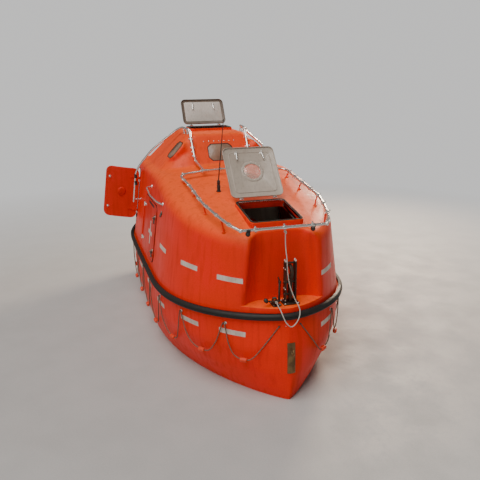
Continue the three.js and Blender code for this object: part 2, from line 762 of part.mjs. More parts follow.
function fender() {
  const ring = levelRing(TOP_LEVEL, 0, 0);
  const count = ring.length;
  const rings = ring.map((point, i) => {
    const before = ring[(i + count - 1) % count];
    const after = ring[(i + 1) % count];
    const along = after.clone().sub(before).setZ(0).normalize();
    const out = vec(along.y, -along.x, 0);
    const corner = (a, b) => point.clone().addScaledVector(out, a).add(vec(0, 0, b));
    return FENDER_SECTION.map(([a, b]) => corner(a, b));
  });
  const section = FENDER_SECTION.length;
  const points = rings.flat();
  const triangles = [];
  for (let i = 0; i < count; i++) {
    const next = ((i + 1) % count) * section;
    for (let j = 0; j < section; j++) {
      const k = (j + 1) % section;
      const a = i * section + j;
      const b = i * section + k;
      triangles.push([a, next + j, b], [b, next + j, next + k]);
    }
  }
  return solid(closedGeometry(points, triangles)).subtract(hullBody(-GAP, HULL_LEVELS, 0));
}

// Cabin
const CABIN = { floor: -90, bench: 320, aisle: 550, wall: 18, end: 1850 };

function liner() {
  const { floor, bench, aisle, wall, end } = CABIN;
  const well = box([2 * end, 2 * aisle, 1000], [0, 0, floor + 500]);
  const above = box([6000, 3000, 2000], [0, 0, bench + 1000]);
  const belowBench = box([6000, 3000, 2000], [0, 0, bench - wall - 1000]);
  const outside = [2 * (end + wall), 2 * (aisle + wall), 1000];
  const kept = box(outside, [0, 0, floor - wall + 500]);
  const form = hullHollow(GAP + 0.4);
  return form.subtract(well).subtract(above).subtract(belowBench.subtract(kept));
}

const ENGINE = { aft: -1650, fore: -1115, half: 250, top: 430 };

function engine() {
  const { aft, fore, half, top } = ENGINE;
  const size = [fore - aft, 2 * half, top - CABIN.floor - GAP];
  return box(size, [(fore + aft) / 2, 0, (top + CABIN.floor + GAP) / 2]);
}

const SEAT_AT = { x: -930, z: 1150 };

function helmSeat() {
  const foot = CABIN.floor + GAP;
  const { x, z } = SEAT_AT;
  const floorPlate = box([330, 330, 14], [x, 0, foot + 7]);
  const post = box([90, 90, z - foot], [x, 0, (z + foot) / 2]);
  const cushion = solid(plate(roundedRectangle(-210, -215, 210, 215, 60), 80, 2)).translate([x, 0, z]);
  const back = solid(plate(roundedRectangle(-215, -40, 215, 400, 70), 60, 2));
  const upright = back.rotate([90, 0, 90]).translate([x - 230, 0, z + 60]);
  return join([floorPlate, post, cushion, upright]);
}

const CONSOLE = { x: -330, half: 210, top: 1620 };

function helmConsole() {
  const foot = CABIN.floor + GAP;
  const { x, half, top } = CONSOLE;
  const column = box([160, 2 * half, top - foot], [x, 0, (top + foot) / 2]);
  const wheel = new THREE.TorusGeometry(150, 12, 6, 16);
  wheel.rotateY(Math.PI / 2);
  wheel.translate(x - 150, 0, top - 190);
  const spokes = [0, 120, 240].map((angle) => {
    const turn = THREE.MathUtils.degToRad(angle);
    const tip = [x - 150, 150 * Math.sin(turn), top - 190 + 150 * Math.cos(turn)];
    return rod([x - 150, 0, top - 190], tip, 9, 6);
  });
  const hub = rod([x - 40, 0, top - 190], [x - 168, 0, top - 190], 24, 10);
  return join([column, solid(wheel), hub, ...spokes]);
}

// Shaft line
function shaft() {
  const line = rod([SHAFT.aft + 0.4, 0, SHAFT.z], [SHAFT.fore, 0, SHAFT.z], SHAFT.radius, 16);
  return line.add(rod([SHAFT.fore - 30, 0, SHAFT.z], [SHAFT.fore + 22, 0, SHAFT.z], 46, 16));
}

const SCREW = { hub: 36, blades: 3, pitch: 34 };

function propeller() {
  const hub = rod([-42, 0, 0], [42, 0, 0], SCREW.hub, 18).add(rod([-78, 0, 0], [-40, 0, 0], 14, 18, SCREW.hub));
  const blades = [];
  for (let i = 0; i < SCREW.blades; i++) {
    const shape = new THREE.Shape();
    shape.moveTo(-16, 22);
    shape.quadraticCurveTo(-62, 70, -40, 112);
    shape.quadraticCurveTo(-10, 146, 34, 122);
    shape.quadraticCurveTo(66, 84, 18, 22);
    const blade = plate(shape, 7, 5);
    blade.translate(0, 0, -3.5);
    blade.rotateY(THREE.MathUtils.degToRad(SCREW.pitch));
    blade.rotateX((2 * Math.PI * i) / SCREW.blades);
    blades.push(solid(blade));
  }
  const bore = rod([-90, 0, 0], [60, 0, 0], SHAFT.radius + GAP, 16);
  return join([hub, ...blades]).subtract(bore).translate([NOZZLE.x, 0, SHAFT.z]);
}

// Steering nozzle: a ring on a stock above and a pin below, with a vane behind the propeller
function nozzle() {
  const { x, inner, outer, half, stock, sides } = NOZZLE;
  const profile = [
    [inner, -half],
    [outer - 6, -half],
    [outer, 0],
    [outer - 2, half * 0.7],
    [outer - 10, half],
    [inner + 6, half],
    [inner, half * 0.5],
    [inner, -half],
  ];
  const lathe = new THREE.LatheGeometry(profile.map(([r, h]) => new THREE.Vector2(r, h)), 32);
  lathe.rotateZ(-Math.PI / 2);
  lathe.translate(x, 0, SHAFT.z);
  const up = rod([x, 0, SHAFT.z + outer - 10], [x, 0, 110], stock, sides);
  const tiller = box([230, 46, 24], [x + 90, 0, 112]);
  const down = rod([x, 0, SKEG.foot + GAP], [x, 0, SHAFT.z - outer + 10], stock, sides);
  const vane = box([85, 10, 2 * inner + 32], [x - half - 67, 0, SHAFT.z]);
  const arms = [-1, 1].map((end) => box([130, 10, 16], [x - half - 45, 0, SHAFT.z + end * (inner + 8)]));
  return join([solid(lathe), up, tiller, down, vane, ...arms]);
}

// Spray pipes: bright tube on short feet
const PIPE = { radius: 15, foot: 9, bend: 120 };
const DECK_PIPE = [
  [2330, 450, 1768],
  [2215, 528, 1802],
  [2000, 590, 1848],
  [1640, 662, 1912],
  [1050, 662, 1985],
  [585, 690, 2036],
];
const TEE = { x: 585, y: 378, z: 2070 };
const HOUSE_PIPE = [
  [TEE.x, TEE.y, TEE.z],
  [170, 377, 2112],
  [20, 372, 2150],
  [-215, 386, 2500],
  [-330, 400, 2502],
  [-600, 425, 2502],
  [-730, 815, 2190],
  [-820, 985, 1960],
  [-860, 1040, 1850],
  [-880, 1083, 1430],
];
const DECK_FEET = [[2060, 572], [1640, 655], [1150, 662], [700, 680]];

const otherSide = ([x, y, z]) => [x, -y, z];

function deckPipe() {
  const starboard = DECK_PIPE.map(otherSide);
  const port = DECK_PIPE.slice().reverse();
  const across = [[TEE.x, -TEE.y, TEE.z], [TEE.x, 0, 2084], [TEE.x, TEE.y, TEE.z]];
  const loop = pipe([...starboard, ...across, ...port], PIPE.radius, PIPE.bend);
  const [front] = DECK_PIPE;
  const rail = rod(otherSide(front), front, PIPE.radius, 8);
  const balls = [front, otherSide(front)].map((spot) => ball(spot, 24, 8));
  const under = [400, -400].map((y) => ball([2322, y, 1738], 22, 8).add(rod([2322, y, 1738], [2328, y, 1768], 9, 8)));
  const feet = DECK_FEET.flatMap(([x, y]) => [-1, 1].map((side) => {
    return rod([x, side * (y - 30), pipeHeight(x) - 160], [x, side * y, pipeHeight(x)], PIPE.foot, 8);
  }));
  const lifted = canopyOuter.translate([0, 0, GAP]);
  return join([loop, rail, ...balls, ...under, ...feet.map((foot) => foot.subtract(lifted))]);
}

// The deck pipe's height over its run, between its corner points
function pipeHeight(x) {
  for (let i = 0; i + 1 < DECK_PIPE.length; i++) {
    const [x0, , z0] = DECK_PIPE[i];
    const [x1, , z1] = DECK_PIPE[i + 1];
    if (x <= x0 && x >= x1) return z0 + ((z1 - z0) * (x - x0)) / (x1 - x0);
  }
  return DECK_PIPE[DECK_PIPE.length - 1][2];
}

function housePipe() {
  const line = pipe(HOUSE_PIPE, PIPE.radius, PIPE.bend);
  const along = rod([TEE.x, TEE.y - 90, TEE.z - 4], [TEE.x, TEE.y + 90, TEE.z], PIPE.radius + 4, 12);
  const end = HOUSE_PIPE[HOUSE_PIPE.length - 1];
  const low = rod([end[0], end[1], end[2] + 30], [end[0], end[1] - 160, end[2] + 30], PIPE.foot, 8);
  const roof = rod([-470, 413, 2502], [-470, 385, 2380], PIPE.foot, 8);
  const front = rod([-40, 374, 2240], [-110, 374, 2150], PIPE.foot, 8);
  const lifted = join([[0, 0, GAP], [0, 0.6, 0], [0.6, 0, 0]].map((shift) => canopyOuter.translate(shift)));
  const feet = [low, roof, front].map((foot) => foot.subtract(lifted));
  return join([line.subtract(along), ...feet]);
}

function grabRail() {
  const points = [
    [-50, 915, 1800],
    [-28, 1010, 1788],
    [300, 1012, 1748],
    [620, 985, 1735],
    [820, 950, 1742],
    [820, 880, 1742],
  ];
  return pipe(points, 10, 45).subtract(canopyOuter.translate([0, 0.6, 0.6]));
}

// Lifting hook at each end, standing on the niche's floor
const HOOK = { x: 2345, y: 58, foot: NICHE.floor + GAP, half: 52, high: 470 };

function hook() {
  const { x, foot, half, high } = HOOK;
  const base = box([150, 170, 10], [x, 0, foot + 5]);
  const sides = [-1, 1].map((side) => box([74, 12, high - 40], [x, side * half, foot + (high - 40) / 2 + 5]));
  const shape = new THREE.Shape();
  shape.moveTo(-30, 0);
  shape.lineTo(30, 0);
  shape.lineTo(34, 250);
  shape.quadraticCurveTo(70, 300, 62, 350);
  shape.quadraticCurveTo(40, 405, -20, 400);
  shape.lineTo(-34, 380);
  shape.quadraticCurveTo(20, 372, 26, 335);
  shape.quadraticCurveTo(20, 290, -30, 280);
  const body = plate(shape, 30, 5);
  body.translate(0, 0, -15);
  body.rotateX(Math.PI / 2);
  body.translate(x, 0, foot + 5);
  const pins = [90, 220].map((z) => rod([x, -half - 16, foot + z], [x, half + 16, foot + z], 14, 8));
  const top = rod([x, -half - 14, foot + high - 50], [x, half + 14, foot + high - 50], 11, 8);
  return join([base, ...sides, solid(body), ...pins, top]);
}

// Release of the towing line, beside the fore hook
function painterRelease() {
  const z = HOOK.foot;
  const base = box([110, 74, 10], [2372, -108, z + 5]);
  const cheeks = [-130, -88].map((y) => box([70, 8, 52], [2372, y, z + 34]));
  const pin = rod([2388, -146, z + 44], [2388, -72, z + 44], 9, 8);
  const arm = rod([2360, -150, z + 40], [2395, -212, z + 66], 7, 8);
  const knob = ball([2395, -212, z + 66], 17, 8);
  const cross = rod([2360, -72, z + 40], [2360, -152, z + 40], 8, 8);
  const lever = bar([2352, -74, z + 20], [2330, -62, z + 275], 16, 26);
  return join([base, ...cheeks, pin, arm, knob, cross, lever]);
}

// Towing plate wrapped round the stem, with its eye
function stemPlate() {
  const low = 320;
  const high = 640;
  const band = box([400, 84, high - low], [2500, 0, (high + low) / 2]);
  const wrap = hullBody(-9, HULL_LEVELS, 0).intersect(band).subtract(hullBody(-0.7, HULL_LEVELS, 0));
  const eye = new THREE.TorusGeometry(30, 8, 8, 16);
  eye.rotateX(Math.PI / 2);
  eye.translate(2596, 0, 560);
  return wrap.add(solid(eye).subtract(hullBody(-4, HULL_LEVELS, 0)));
}

// Aerial
const AERIAL = { x: 1130, y: -345, base: 180, top: 2745 };

function aerialBase() {
  const { x, y, base } = AERIAL;
  const z = deckEdge(x);
  const body = rod([x, y, z - 10], [x, y, z + base], 19, 12);
  const bands = [60, 120].map((up) => rod([x, y, z + up], [x, y, z + up + 16], 24, 12));
  const flange = rod([x, y, z - 10], [x, y, z + 62], 30, 12);
  return join([body, flange, ...bands]).subtract(canopyOuter.translate([0, 0, GAP]));
}

function aerialWhip() {
  const { x, y, base, top } = AERIAL;
  return rod([x, y, deckEdge(x) + base + 3 * GAP], [x, y + 68, top], 7, 8, 4);
}

// Lifelines: rope in bights from eye to eye, a float on each
const LIFELINE = { radius: 6, float: 24, floatHalf: 40, stand: 15.6, end: 13, eye: 702, low: 440, steps: 6 };
const EYES = [2490, 2170, 1760, 1260, 700, 130, -440, -1000, -1530, -1960, -2220];

// The hull's half breadth at a place and height
function hullHalf(x, z) {
  const upper = HULL_LEVELS.findIndex((level) => level.z > z);
  const above = HULL_LEVELS[upper < 0 ? HULL_LEVELS.length - 1 : upper];
  const below = HULL_LEVELS[upper < 0 ? HULL_LEVELS.length - 2 : upper - 1];
  const share = (z - below.z) / (above.z - below.z);
  return halfOf(below, x) * (1 - share) + halfOf(above, x) * share;
}

// A spot beside the hull, standing off square to its side
function beside(x, z, stand) {
  const half = hullHalf(x, z);
  const slope = (hullHalf(x + 5, z) - hullHalf(x - 5, z)) / 10;
  const length = Math.hypot(slope, 1);
  return [x - (stand * slope) / length, half + stand / length, z];
}

function lifelinePoints() {
  const points = [];
  const { steps, stand, eye, low } = LIFELINE;
  for (let i = 0; i + 1 < EYES.length; i++) {
    for (let step = 0; step < steps; step++) {
      const share = step / steps;
      const x = EYES[i] + (EYES[i + 1] - EYES[i]) * share;
      const sag = 1 - (2 * share - 1) ** 2;
      const high = eye + sheerAt(x, GUNWALE);
      points.push(beside(x, high + (low - high) * sag, stand + 12 * sag));
    }
  }
  const last = EYES[EYES.length - 1];
  points.push(beside(last, eye + sheerAt(last, GUNWALE), stand));
  return points;
}

function lifeline() {
  const { radius, float, floatHalf, steps, end } = LIFELINE;
  const points = lifelinePoints();
  const curve = new THREE.CatmullRomCurve3(points.map((point) => vec(...point)), false, "centripetal");
  const parts = [tubeOn(curve, radius, 8, 60)];
  for (let i = 0; i + 1 < EYES.length; i++) {
    const middle = i * steps + steps / 2;
    const [x, y, z] = points[middle];
    const along = vec(...points[middle + 1]).sub(vec(...points[middle - 1])).setLength(floatHalf);
    const from = [x - along.x, y + 6 - along.y, z - along.z];
    const to = [x + along.x, y + 6 + along.y, z + along.z];
    parts.push(rod(from, to, float, 8));
  }
  const ends = [points[0], points[points.length - 1]];
  return join([...parts, ...ends.map((spot) => ball(spot, end, 8))]);
}

// Towing line: from the rail down over the bow and back to its release
const PAINTER = [
  [2330, 9, 1722],
  [2345, 6, 1590],
  [2392, 4, 1460],
  [2408, 8, 1330],
  [2420, 26, 1200],
  [2456, 62, 1075],
  [2510, 88, 1003],
  [2572, 76, 982],
  [2612, 52, 930],
  [2624, 10, 872],
  [2624, -36, 850],
  [2612, -80, 890],
  [2588, -104, 950],
  [2540, -112, 994],
  [2470, -110, 1008],
  [2413.5, -109, 1027],
];

function painterLine() {
  const curve = new THREE.CatmullRomCurve3(PAINTER.map((point) => vec(...point)), false, "centripetal");
  const line = tubeOn(curve, 7, 8, 38);
  return join([line, ball(PAINTER[0], 19, 8), ball(PAINTER[PAINTER.length - 1], 17, 8)]);
}

// Scene graph
const boat = new THREE.Group();
boat.name = "enclosed_lifeboat";

function add(name, made, colour) {
  const [tone, roughness, metalness] = COLOURS[colour];
  const material = new THREE.MeshStandardMaterial({ color: tone, roughness, metalness });
  const mesh = new THREE.Mesh(geometryOf(made), material);
  mesh.name = name;
  boat.add(mesh);
}

add("hull", hull(), "orange");
add("canopy", canopy(), "orange");
add("fender", fender(), "rubber");
add("inner_liner", liner(), "liner");
add("engine", engine(), "darkSteel");
add("helm_seat", helmSeat(), "black");
add("helm_console", helmConsole(), "liner");
for (const place of WINDOW_PLACES) {
  add(place.name, windowPrism(place, 1, -WINDOW.glass - 1.6, -1.6), "glass");
}
const foreDoor = sideDoor(FORE_DOOR);
const aftDoor = sideDoor(AFT_DOOR).add(doorBoss(AFT_DOOR));
add("door_fore_starboard", foreDoor, "orange");
add("door_fore_port", mirrorY(foreDoor), "orange");
add("door_aft_starboard", turned(aftDoor, hingeLine(AFT_DOOR), DOOR_OPEN), "orangeDeep");
add("door_aft_port", mirrorY(aftDoor), "orange");
add("fore_hatch_cover", onForeDeck(opened(glazedLid(FORE_HATCH), FORE_HATCH)), "panel");
add("fore_hatch_pane", onForeDeck(opened(porthole(FORE_HATCH), FORE_HATCH)), "glass");
add("fore_hatch_seal", onForeDeck(seal(FORE_HATCH)), "rubber");
add("top_hatch_cover", onRoof(opened(lid(TOP_HATCH), TOP_HATCH)), "panel");
add("top_hatch_seal", onRoof(seal(TOP_HATCH)), "rubber");
add("spray_pipe_deck", deckPipe(), "steel");
add("spray_pipe_house_port", housePipe(), "steel");
add("spray_pipe_house_starboard", mirrorY(housePipe()), "steel");
add("grab_rail_port", grabRail(), "steel");
add("grab_rail_starboard", mirrorY(grabRail()), "steel");
add("hook_fore", hook().translate([0, HOOK.y, 0]), "darkSteel");
add("hook_aft", mirrorX(hook()), "darkSteel");
add("painter_release", painterRelease(), "darkSteel");
add("stem_plate", stemPlate(), "bronze");
add("aerial_base", aerialBase(), "black");
add("aerial_whip", aerialWhip(), "black");
add("propeller_shaft", shaft(), "steel");
add("propeller", propeller(), "bronze");
add("steering_nozzle", nozzle(), "orangeDeep");
const besideHull = hullBody(-GAP, HULL_LEVELS, 0);
add("lifeline_port", lifeline().subtract(besideHull), "rope");
add("lifeline_starboard", mirrorY(lifeline()).subtract(besideHull), "rope");
add("painter_line", painterLine(), "white");

export default boat;
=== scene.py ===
# %% [markdown]
# # An enclosed lifeboat, dressed for the camera
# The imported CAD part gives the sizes, the joints and one frame in metres: +X to the bow, +Y to port, +Z up,
# with the waterline at zero. This lesson builds the finer skins, the fittings and the finishes around it.

# %% Start
from math import atan, cos, hypot, pi, radians, sin

import bpy
from mathutils import Matrix, Vector


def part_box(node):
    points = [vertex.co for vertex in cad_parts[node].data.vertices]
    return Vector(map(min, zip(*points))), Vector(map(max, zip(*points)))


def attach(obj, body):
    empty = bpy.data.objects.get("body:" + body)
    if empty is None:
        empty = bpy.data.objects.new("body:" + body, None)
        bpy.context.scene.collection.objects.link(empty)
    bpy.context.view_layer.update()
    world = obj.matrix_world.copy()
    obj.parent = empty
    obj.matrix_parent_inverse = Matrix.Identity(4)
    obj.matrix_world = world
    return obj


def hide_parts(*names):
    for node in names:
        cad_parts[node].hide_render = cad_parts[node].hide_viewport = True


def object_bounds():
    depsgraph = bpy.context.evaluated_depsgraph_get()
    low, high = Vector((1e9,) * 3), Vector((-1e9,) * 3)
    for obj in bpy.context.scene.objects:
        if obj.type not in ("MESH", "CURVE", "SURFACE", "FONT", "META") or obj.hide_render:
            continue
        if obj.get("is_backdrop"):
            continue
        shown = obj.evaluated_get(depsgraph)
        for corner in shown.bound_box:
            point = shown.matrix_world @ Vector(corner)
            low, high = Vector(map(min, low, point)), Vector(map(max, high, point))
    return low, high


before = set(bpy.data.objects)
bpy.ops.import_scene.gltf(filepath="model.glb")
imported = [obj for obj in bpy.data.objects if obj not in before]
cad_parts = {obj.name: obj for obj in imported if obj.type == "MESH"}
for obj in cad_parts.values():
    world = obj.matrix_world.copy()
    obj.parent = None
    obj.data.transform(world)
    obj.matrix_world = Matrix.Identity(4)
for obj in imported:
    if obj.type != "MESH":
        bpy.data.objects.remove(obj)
cad_low, cad_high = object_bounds()
print("nodes", len(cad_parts))

# %% [markdown]
# ## Camera
# The camera stands ahead of the bow, to starboard and a little above the deck. Its place and lens were
# worked out from known points of the boat, which gives the picture the photograph's perspective.

# %% Camera
EYE = Vector((7.556, -2.038, 3.270))
YAW = 0.29489
PITCH = 0.23772
ROLL = radians(-0.355)
LENS = 44.39
SHIFT = (-0.001, -0.05625)


def aim_camera():
    forward = Vector((-cos(PITCH) * cos(YAW), cos(PITCH) * sin(YAW), -sin(PITCH)))
    level = forward.cross(Vector((0, 0, 1))).normalized()
    upright = level.cross(forward)
    right = level * cos(ROLL) + upright * sin(ROLL)
    above = upright * cos(ROLL) - level * sin(ROLL)
    camera = bpy.data.objects.new("camera", bpy.data.cameras.new("camera"))
    camera.matrix_world = Matrix.Translation(EYE) @ Matrix((right, above, -forward)).transposed().to_4x4()
    camera.data.lens = LENS
    camera.data.shift_x, camera.data.shift_y = SHIFT
    bpy.context.scene.collection.objects.link(camera)
    bpy.context.scene.camera = camera
    return camera


camera = aim_camera()
print("camera at", tuple(round(v, 2) for v in camera.location))

# %% [markdown]
# ## Shapes as plain lists
# Most fittings of a boat are rods, plates, tubes and turned knobs. Blender's mesh tools could make them one
# by one, but a list of points and a list of faces is quicker by the hundred, and easy to move or mirror. So
# a shape here is such a pair. `strips` joins rings of points, and `merged` puts several shapes in one mesh.

# %% Shape helpers
UP = Vector((0, 0, 1))
shift = Matrix.Translation  # makes the matrix of a move


def moved(shape, matrix):
    points, faces = shape
    placed = [matrix @ Vector(p) for p in points]
    if matrix.determinant() < 0:
        faces = [tuple(reversed(f)) for f in faces]
    return placed, faces


def merged(*shapes):
    points = []
    faces = []
    for more_points, more_faces in shapes:
        start = len(points)
        points += [Vector(p) for p in more_points]
        faces += [tuple(i + start for i in face) for face in more_faces]
    return points, faces


def strips(rings, closed=False, ends=True):
    """Rings of equal length joined by quads, with a flat face at each end."""
    count = len(rings[0])
    points = [Vector(p) for ring in rings for p in ring]
    faces = []
    for row in range(len(rings) if closed else len(rings) - 1):
        below = row * count
        above = ((row + 1) % len(rings)) * count
        for i in range(count):
            k = (i + 1) % count
            faces.append((below + i, below + k, above + k, above + i))
    if ends and not closed:
        last = (len(rings) - 1) * count
        faces.append(tuple(range(count - 1, -1, -1)))
        faces.append(tuple(range(last, last + count)))
    return points, faces


print("a box made of two square rings has", len(strips([[UP] * 4, [UP] * 4])[1]), "faces")

# %% [markdown]
# ## Round shapes
# A washer, a bolt head or a knob is turned on a lathe, so `turned` takes the profile that the lathe's tool
# would follow. A rod is the simplest such profile, laid along the line that it joins.

# %% Round shapes
def circle(radius, sides, height=0.0):
    angles = [2 * pi * i / sides for i in range(sides)]
    return [Vector((radius * cos(a), radius * sin(a), height)) for a in angles]


def turned(profile, sides=32):
    """A profile of (radius, height) pairs turned about Z."""
    return strips([circle(max(radius, 1e-5), sides, height) for radius, height in profile])


def along(start, end):
    """The matrix that stands Z along the line from start to end."""
    start, end = Vector(start), Vector(end)
    return shift(start) @ (end - start).to_track_quat("Z", "Y").to_matrix().to_4x4()


def rod(start, end, radius, end_radius=None, sides=20):
    length = (Vector(end) - Vector(start)).length
    tip = radius if end_radius is None else end_radius
    return moved(strips([circle(radius, sides), circle(tip, sides, length)]), along(start, end))


def ball(centre, radius, sides=20):
    rows = sides // 2
    angles = [pi * (i / rows - 0.5) for i in range(rows + 1)]
    profile = [(radius * cos(a), radius * sin(a)) for a in angles]
    return moved(turned(profile, sides), shift(Vector(centre)))


print("a rod has", len(rod((0, 0, 0), (0, 0, 1), 0.1)[0]), "points")

# %% [markdown]
# ## Flat shapes
# Plates, straps and pads are cut from sheet, so they are outlines with a thickness. `rounded` gives the
# outline of a rectangle with soft corners, which doors, hatches and cushions all share.

# %% Flat shapes
def prism(outline, low, high):
    """An outline in X and Y, raised from low to high."""
    return strips([[Vector((x, y, z)) for x, y in outline] for z in (low, high)])


def block(size, centre, turn=None):
    x, y, z = (s / 2 for s in size)
    shape = prism([(-x, -y), (x, -y), (x, y), (-x, y)], -z, z)
    return moved(shape, shift(Vector(centre)) @ (turn or Matrix.Identity(4)))


def strap(start, end, thick, tall):
    """A flat bar between two points, with its narrow side level and its broad side upright."""
    run = Vector(end) - Vector(start)
    level = Vector((-run.y, run.x, 0)).normalized()
    upright = run.normalized().cross(level)
    turn = Matrix((run.normalized(), level, upright)).transposed().to_4x4()
    return block((run.length, thick, tall), (Vector(start) + Vector(end)) / 2, turn)


def rounded(x0, y0, x1, y1, radius, steps=6):
    """The outline of a rectangle with rounded corners."""
    corners = [(x1 - radius, y0 + radius, -90), (x1 - radius, y1 - radius, 0)]
    corners += [(x0 + radius, y1 - radius, 90), (x0 + radius, y0 + radius, 180)]
    outline = []
    for cx, cy, start in corners:
        for i in range(steps + 1):
            angle = radians(start + 90 * i / steps)
            outline.append((cx + radius * cos(angle), cy + radius * sin(angle)))
    return outline


print("a rounded outline has", len(rounded(-1, -1, 1, 1, 0.2)), "points")

# %% [markdown]
# ## Lines, pipes and ropes
# A rope hangs in one smooth curve, but a pipe is straight between the bends that a bending tool gives it.
# Each gets its own kind of line. `swept` then carries a section along the line without letting it twist.

# %% Lines and tubes
def smooth_line(points, per_span=8):
    """A curve through the points, as a list of close points."""
    points = [Vector(p) for p in points]
    line = []
    for i in range(len(points) - 1):
        a = points[max(i - 1, 0)]
        b, c = points[i], points[i + 1]
        d = points[min(i + 2, len(points) - 1)]
        for step in range(per_span):
            t = step / per_span
            line.append(0.5 * (2 * b + (c - a) * t + (2 * a - 5 * b + 4 * c - d) * t**2
                               + (3 * b - a - 3 * c + d) * t**3))
    return line + [points[-1]]


def bent_line(points, bend, steps=8):
    """A line whose corners are rounded off, as a pipe bender makes them."""
    points = [Vector(p) for p in points]
    line = [points[0]]
    for before, corner, after in zip(points, points[1:], points[2:]):
        back, on = before - corner, after - corner
        cut = min(bend, back.length * 0.46, on.length * 0.46)
        enter, leave = corner + back.normalized() * cut, corner + on.normalized() * cut
        for i in range(steps + 1):
            t = i / steps
            line.append(enter * (1 - t) ** 2 + corner * (2 * t * (1 - t)) + leave * t**2)
    return line + [points[-1]]


def swept(line, section):
    """A section of (across, up) pairs carried along a line with no twist."""
    rings = []
    across = None
    for i, point in enumerate(line):
        run = (line[min(i + 1, len(line) - 1)] - line[max(i - 1, 0)]).normalized()
        if across is None:
            across = run.cross(UP if abs(run.z) < 0.9 else Vector((1, 0, 0)))
        across = (across - run * across.dot(run)).normalized()
        upright = across.cross(run)
        rings.append([point + across * a + upright * b for a, b in section])
    return strips(rings)


def tube(line, radius, sides=16):
    return swept(line, [(p.x, p.y) for p in circle(radius, sides)])


print("a bent pipe has", len(tube(bent_line([(0, 0, 0), (0, 0, 1), (0, 1, 1)], 0.1), 0.01)[0]), "points")

# %% [markdown]
# ## From lists to pieces
# `piece` turns a shape into a Blender object, gives it a finish and lets it ride on a body of the boat.
# Edges of real things are never perfectly sharp, so a small bevel is added wherever light should catch an
# edge.

# %% Piece helpers
def bare(name, shape):
    points, faces = shape
    mesh = bpy.data.meshes.new(name)
    mesh.from_pydata([tuple(p) for p in points], [], faces)
    mesh.update()
    obj = bpy.data.objects.new(name, mesh)
    bpy.context.scene.collection.objects.link(obj)
    return obj


def settled(obj):
    """Makes the modifiers' result the object's own mesh."""
    bpy.context.view_layer.update()
    graph = bpy.context.evaluated_depsgraph_get()
    mesh = bpy.data.meshes.new_from_object(obj.evaluated_get(graph))
    obj.modifiers.clear()
    obj.data = mesh
    return obj


def smoothed(obj, angle=35):
    obj.data.shade_smooth()
    obj.data.set_sharp_from_angle(angle=radians(angle))
    return obj


def welded(obj, distance=1e-4):
    modifier = obj.modifiers.new("weld", "WELD")
    modifier.merge_threshold = distance
    return settled(obj)


def closed(name, shape):
    return welded(bare(name, shape), 1e-5)


def bevelled(obj, width, segments=2):
    modifier = obj.modifiers.new("bevel", "BEVEL")
    modifier.width = width
    modifier.segments = segments
    modifier.limit_method = "ANGLE"
    modifier.angle_limit = radians(32)
    return settled(obj)


def combined(obj, tool, operation):
    """Joins, cuts or trims one closed solid by another, or by a shape. The tool is used up."""
    if isinstance(tool, tuple):
        tool = closed("tool", tool)
    modifier = obj.modifiers.new("boolean", "BOOLEAN")
    modifier.operation = operation
    modifier.solver = "MANIFOLD"
    modifier.object = tool
    settled(obj)
    bpy.data.objects.remove(tool)
    return obj


def dressed(obj, material, body="boat", angle=35):
    obj.data.materials.clear()
    obj.data.materials.append(material)
    smoothed(obj, angle)
    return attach(obj, body)


def piece(name, shape, material, body="boat", bevel=0.0, angle=35, segments=2):
    obj = bare(name, shape)
    if bevel:
        bevelled(obj, bevel, segments)
    return dressed(obj, material, body, angle)


MIRROR = Matrix.Scale(-1, 4, Vector((0, 1, 0)))
FORE_AFT = Matrix.Scale(-1, 4, Vector((1, 0, 0)))
ON_EDGE = Matrix.Rotation(radians(90), 4, "X")  # stands a level outline upright, fore and aft
SIDES = {"starboard": Matrix.Identity(4), "port": MIRROR}  # for shapes built on the starboard side
FROM_PORT = {"port": Matrix.Identity(4), "starboard": MIRROR}  # for shapes built on the port side
print("sides", list(SIDES))

# %% [markdown]
# ## Shared effects for the finishes
# A node group holds an effect that several materials need. The wear and light group gives masks: broad
# patches, fine grain, streaks that rain leaves down a wall, small specks, and how far a surface faces the
# sky.
# That last mask paints upward faces lighter, a painted top light. `Relief` turns noise into a bumpy normal.
# The groups put out only masks and normals, and each material keeps its own shader.

# %% Shared node groups
def add(tree, kind, inputs=None, **settings):
    """A node with its settings. An input that is given a socket is linked, any other is set."""
    made = tree.nodes.new(kind)
    for key, value in settings.items():
        setattr(made, key, value)
    for key, value in (inputs or {}).items():
        if isinstance(value, bpy.types.NodeSocket):
            tree.links.new(value, made.inputs[key])
        else:
            made.inputs[key].default_value = value
    return made


def spread(tree, value, low, high, start=0.0, end=1.0):
    """The value's range from low to high, stretched to run from start to end."""
    ranges = {"Value": value, 1: low, 2: high, 3: start, 4: end}
    return add(tree, "ShaderNodeMapRange", ranges).outputs[0]


def mixed(tree, share, first, second, blend="MIX"):
    inputs = {0: share, 6: first, 7: second}
    return add(tree, "ShaderNodeMix", inputs, data_type="RGBA", blend_type=blend).outputs[2]


def maths(tree, operation, first, second=0.0):
    return add(tree, "ShaderNodeMath", {0: first, 1: second}, operation=operation).outputs[0]


SCALAR = "NodeSocketFloat"


def new_group(name, inputs, outputs):
    group = bpy.data.node_groups.new(name, "ShaderNodeTree")
    for label, start in inputs:
        socket = group.interface.new_socket(label, in_out="INPUT", socket_type=SCALAR)
        socket.default_value = start
    for label, kind in outputs:
        group.interface.new_socket(label, in_out="OUTPUT", socket_type=kind)
    return group, group.nodes.new("NodeGroupInput"), group.nodes.new("NodeGroupOutput")


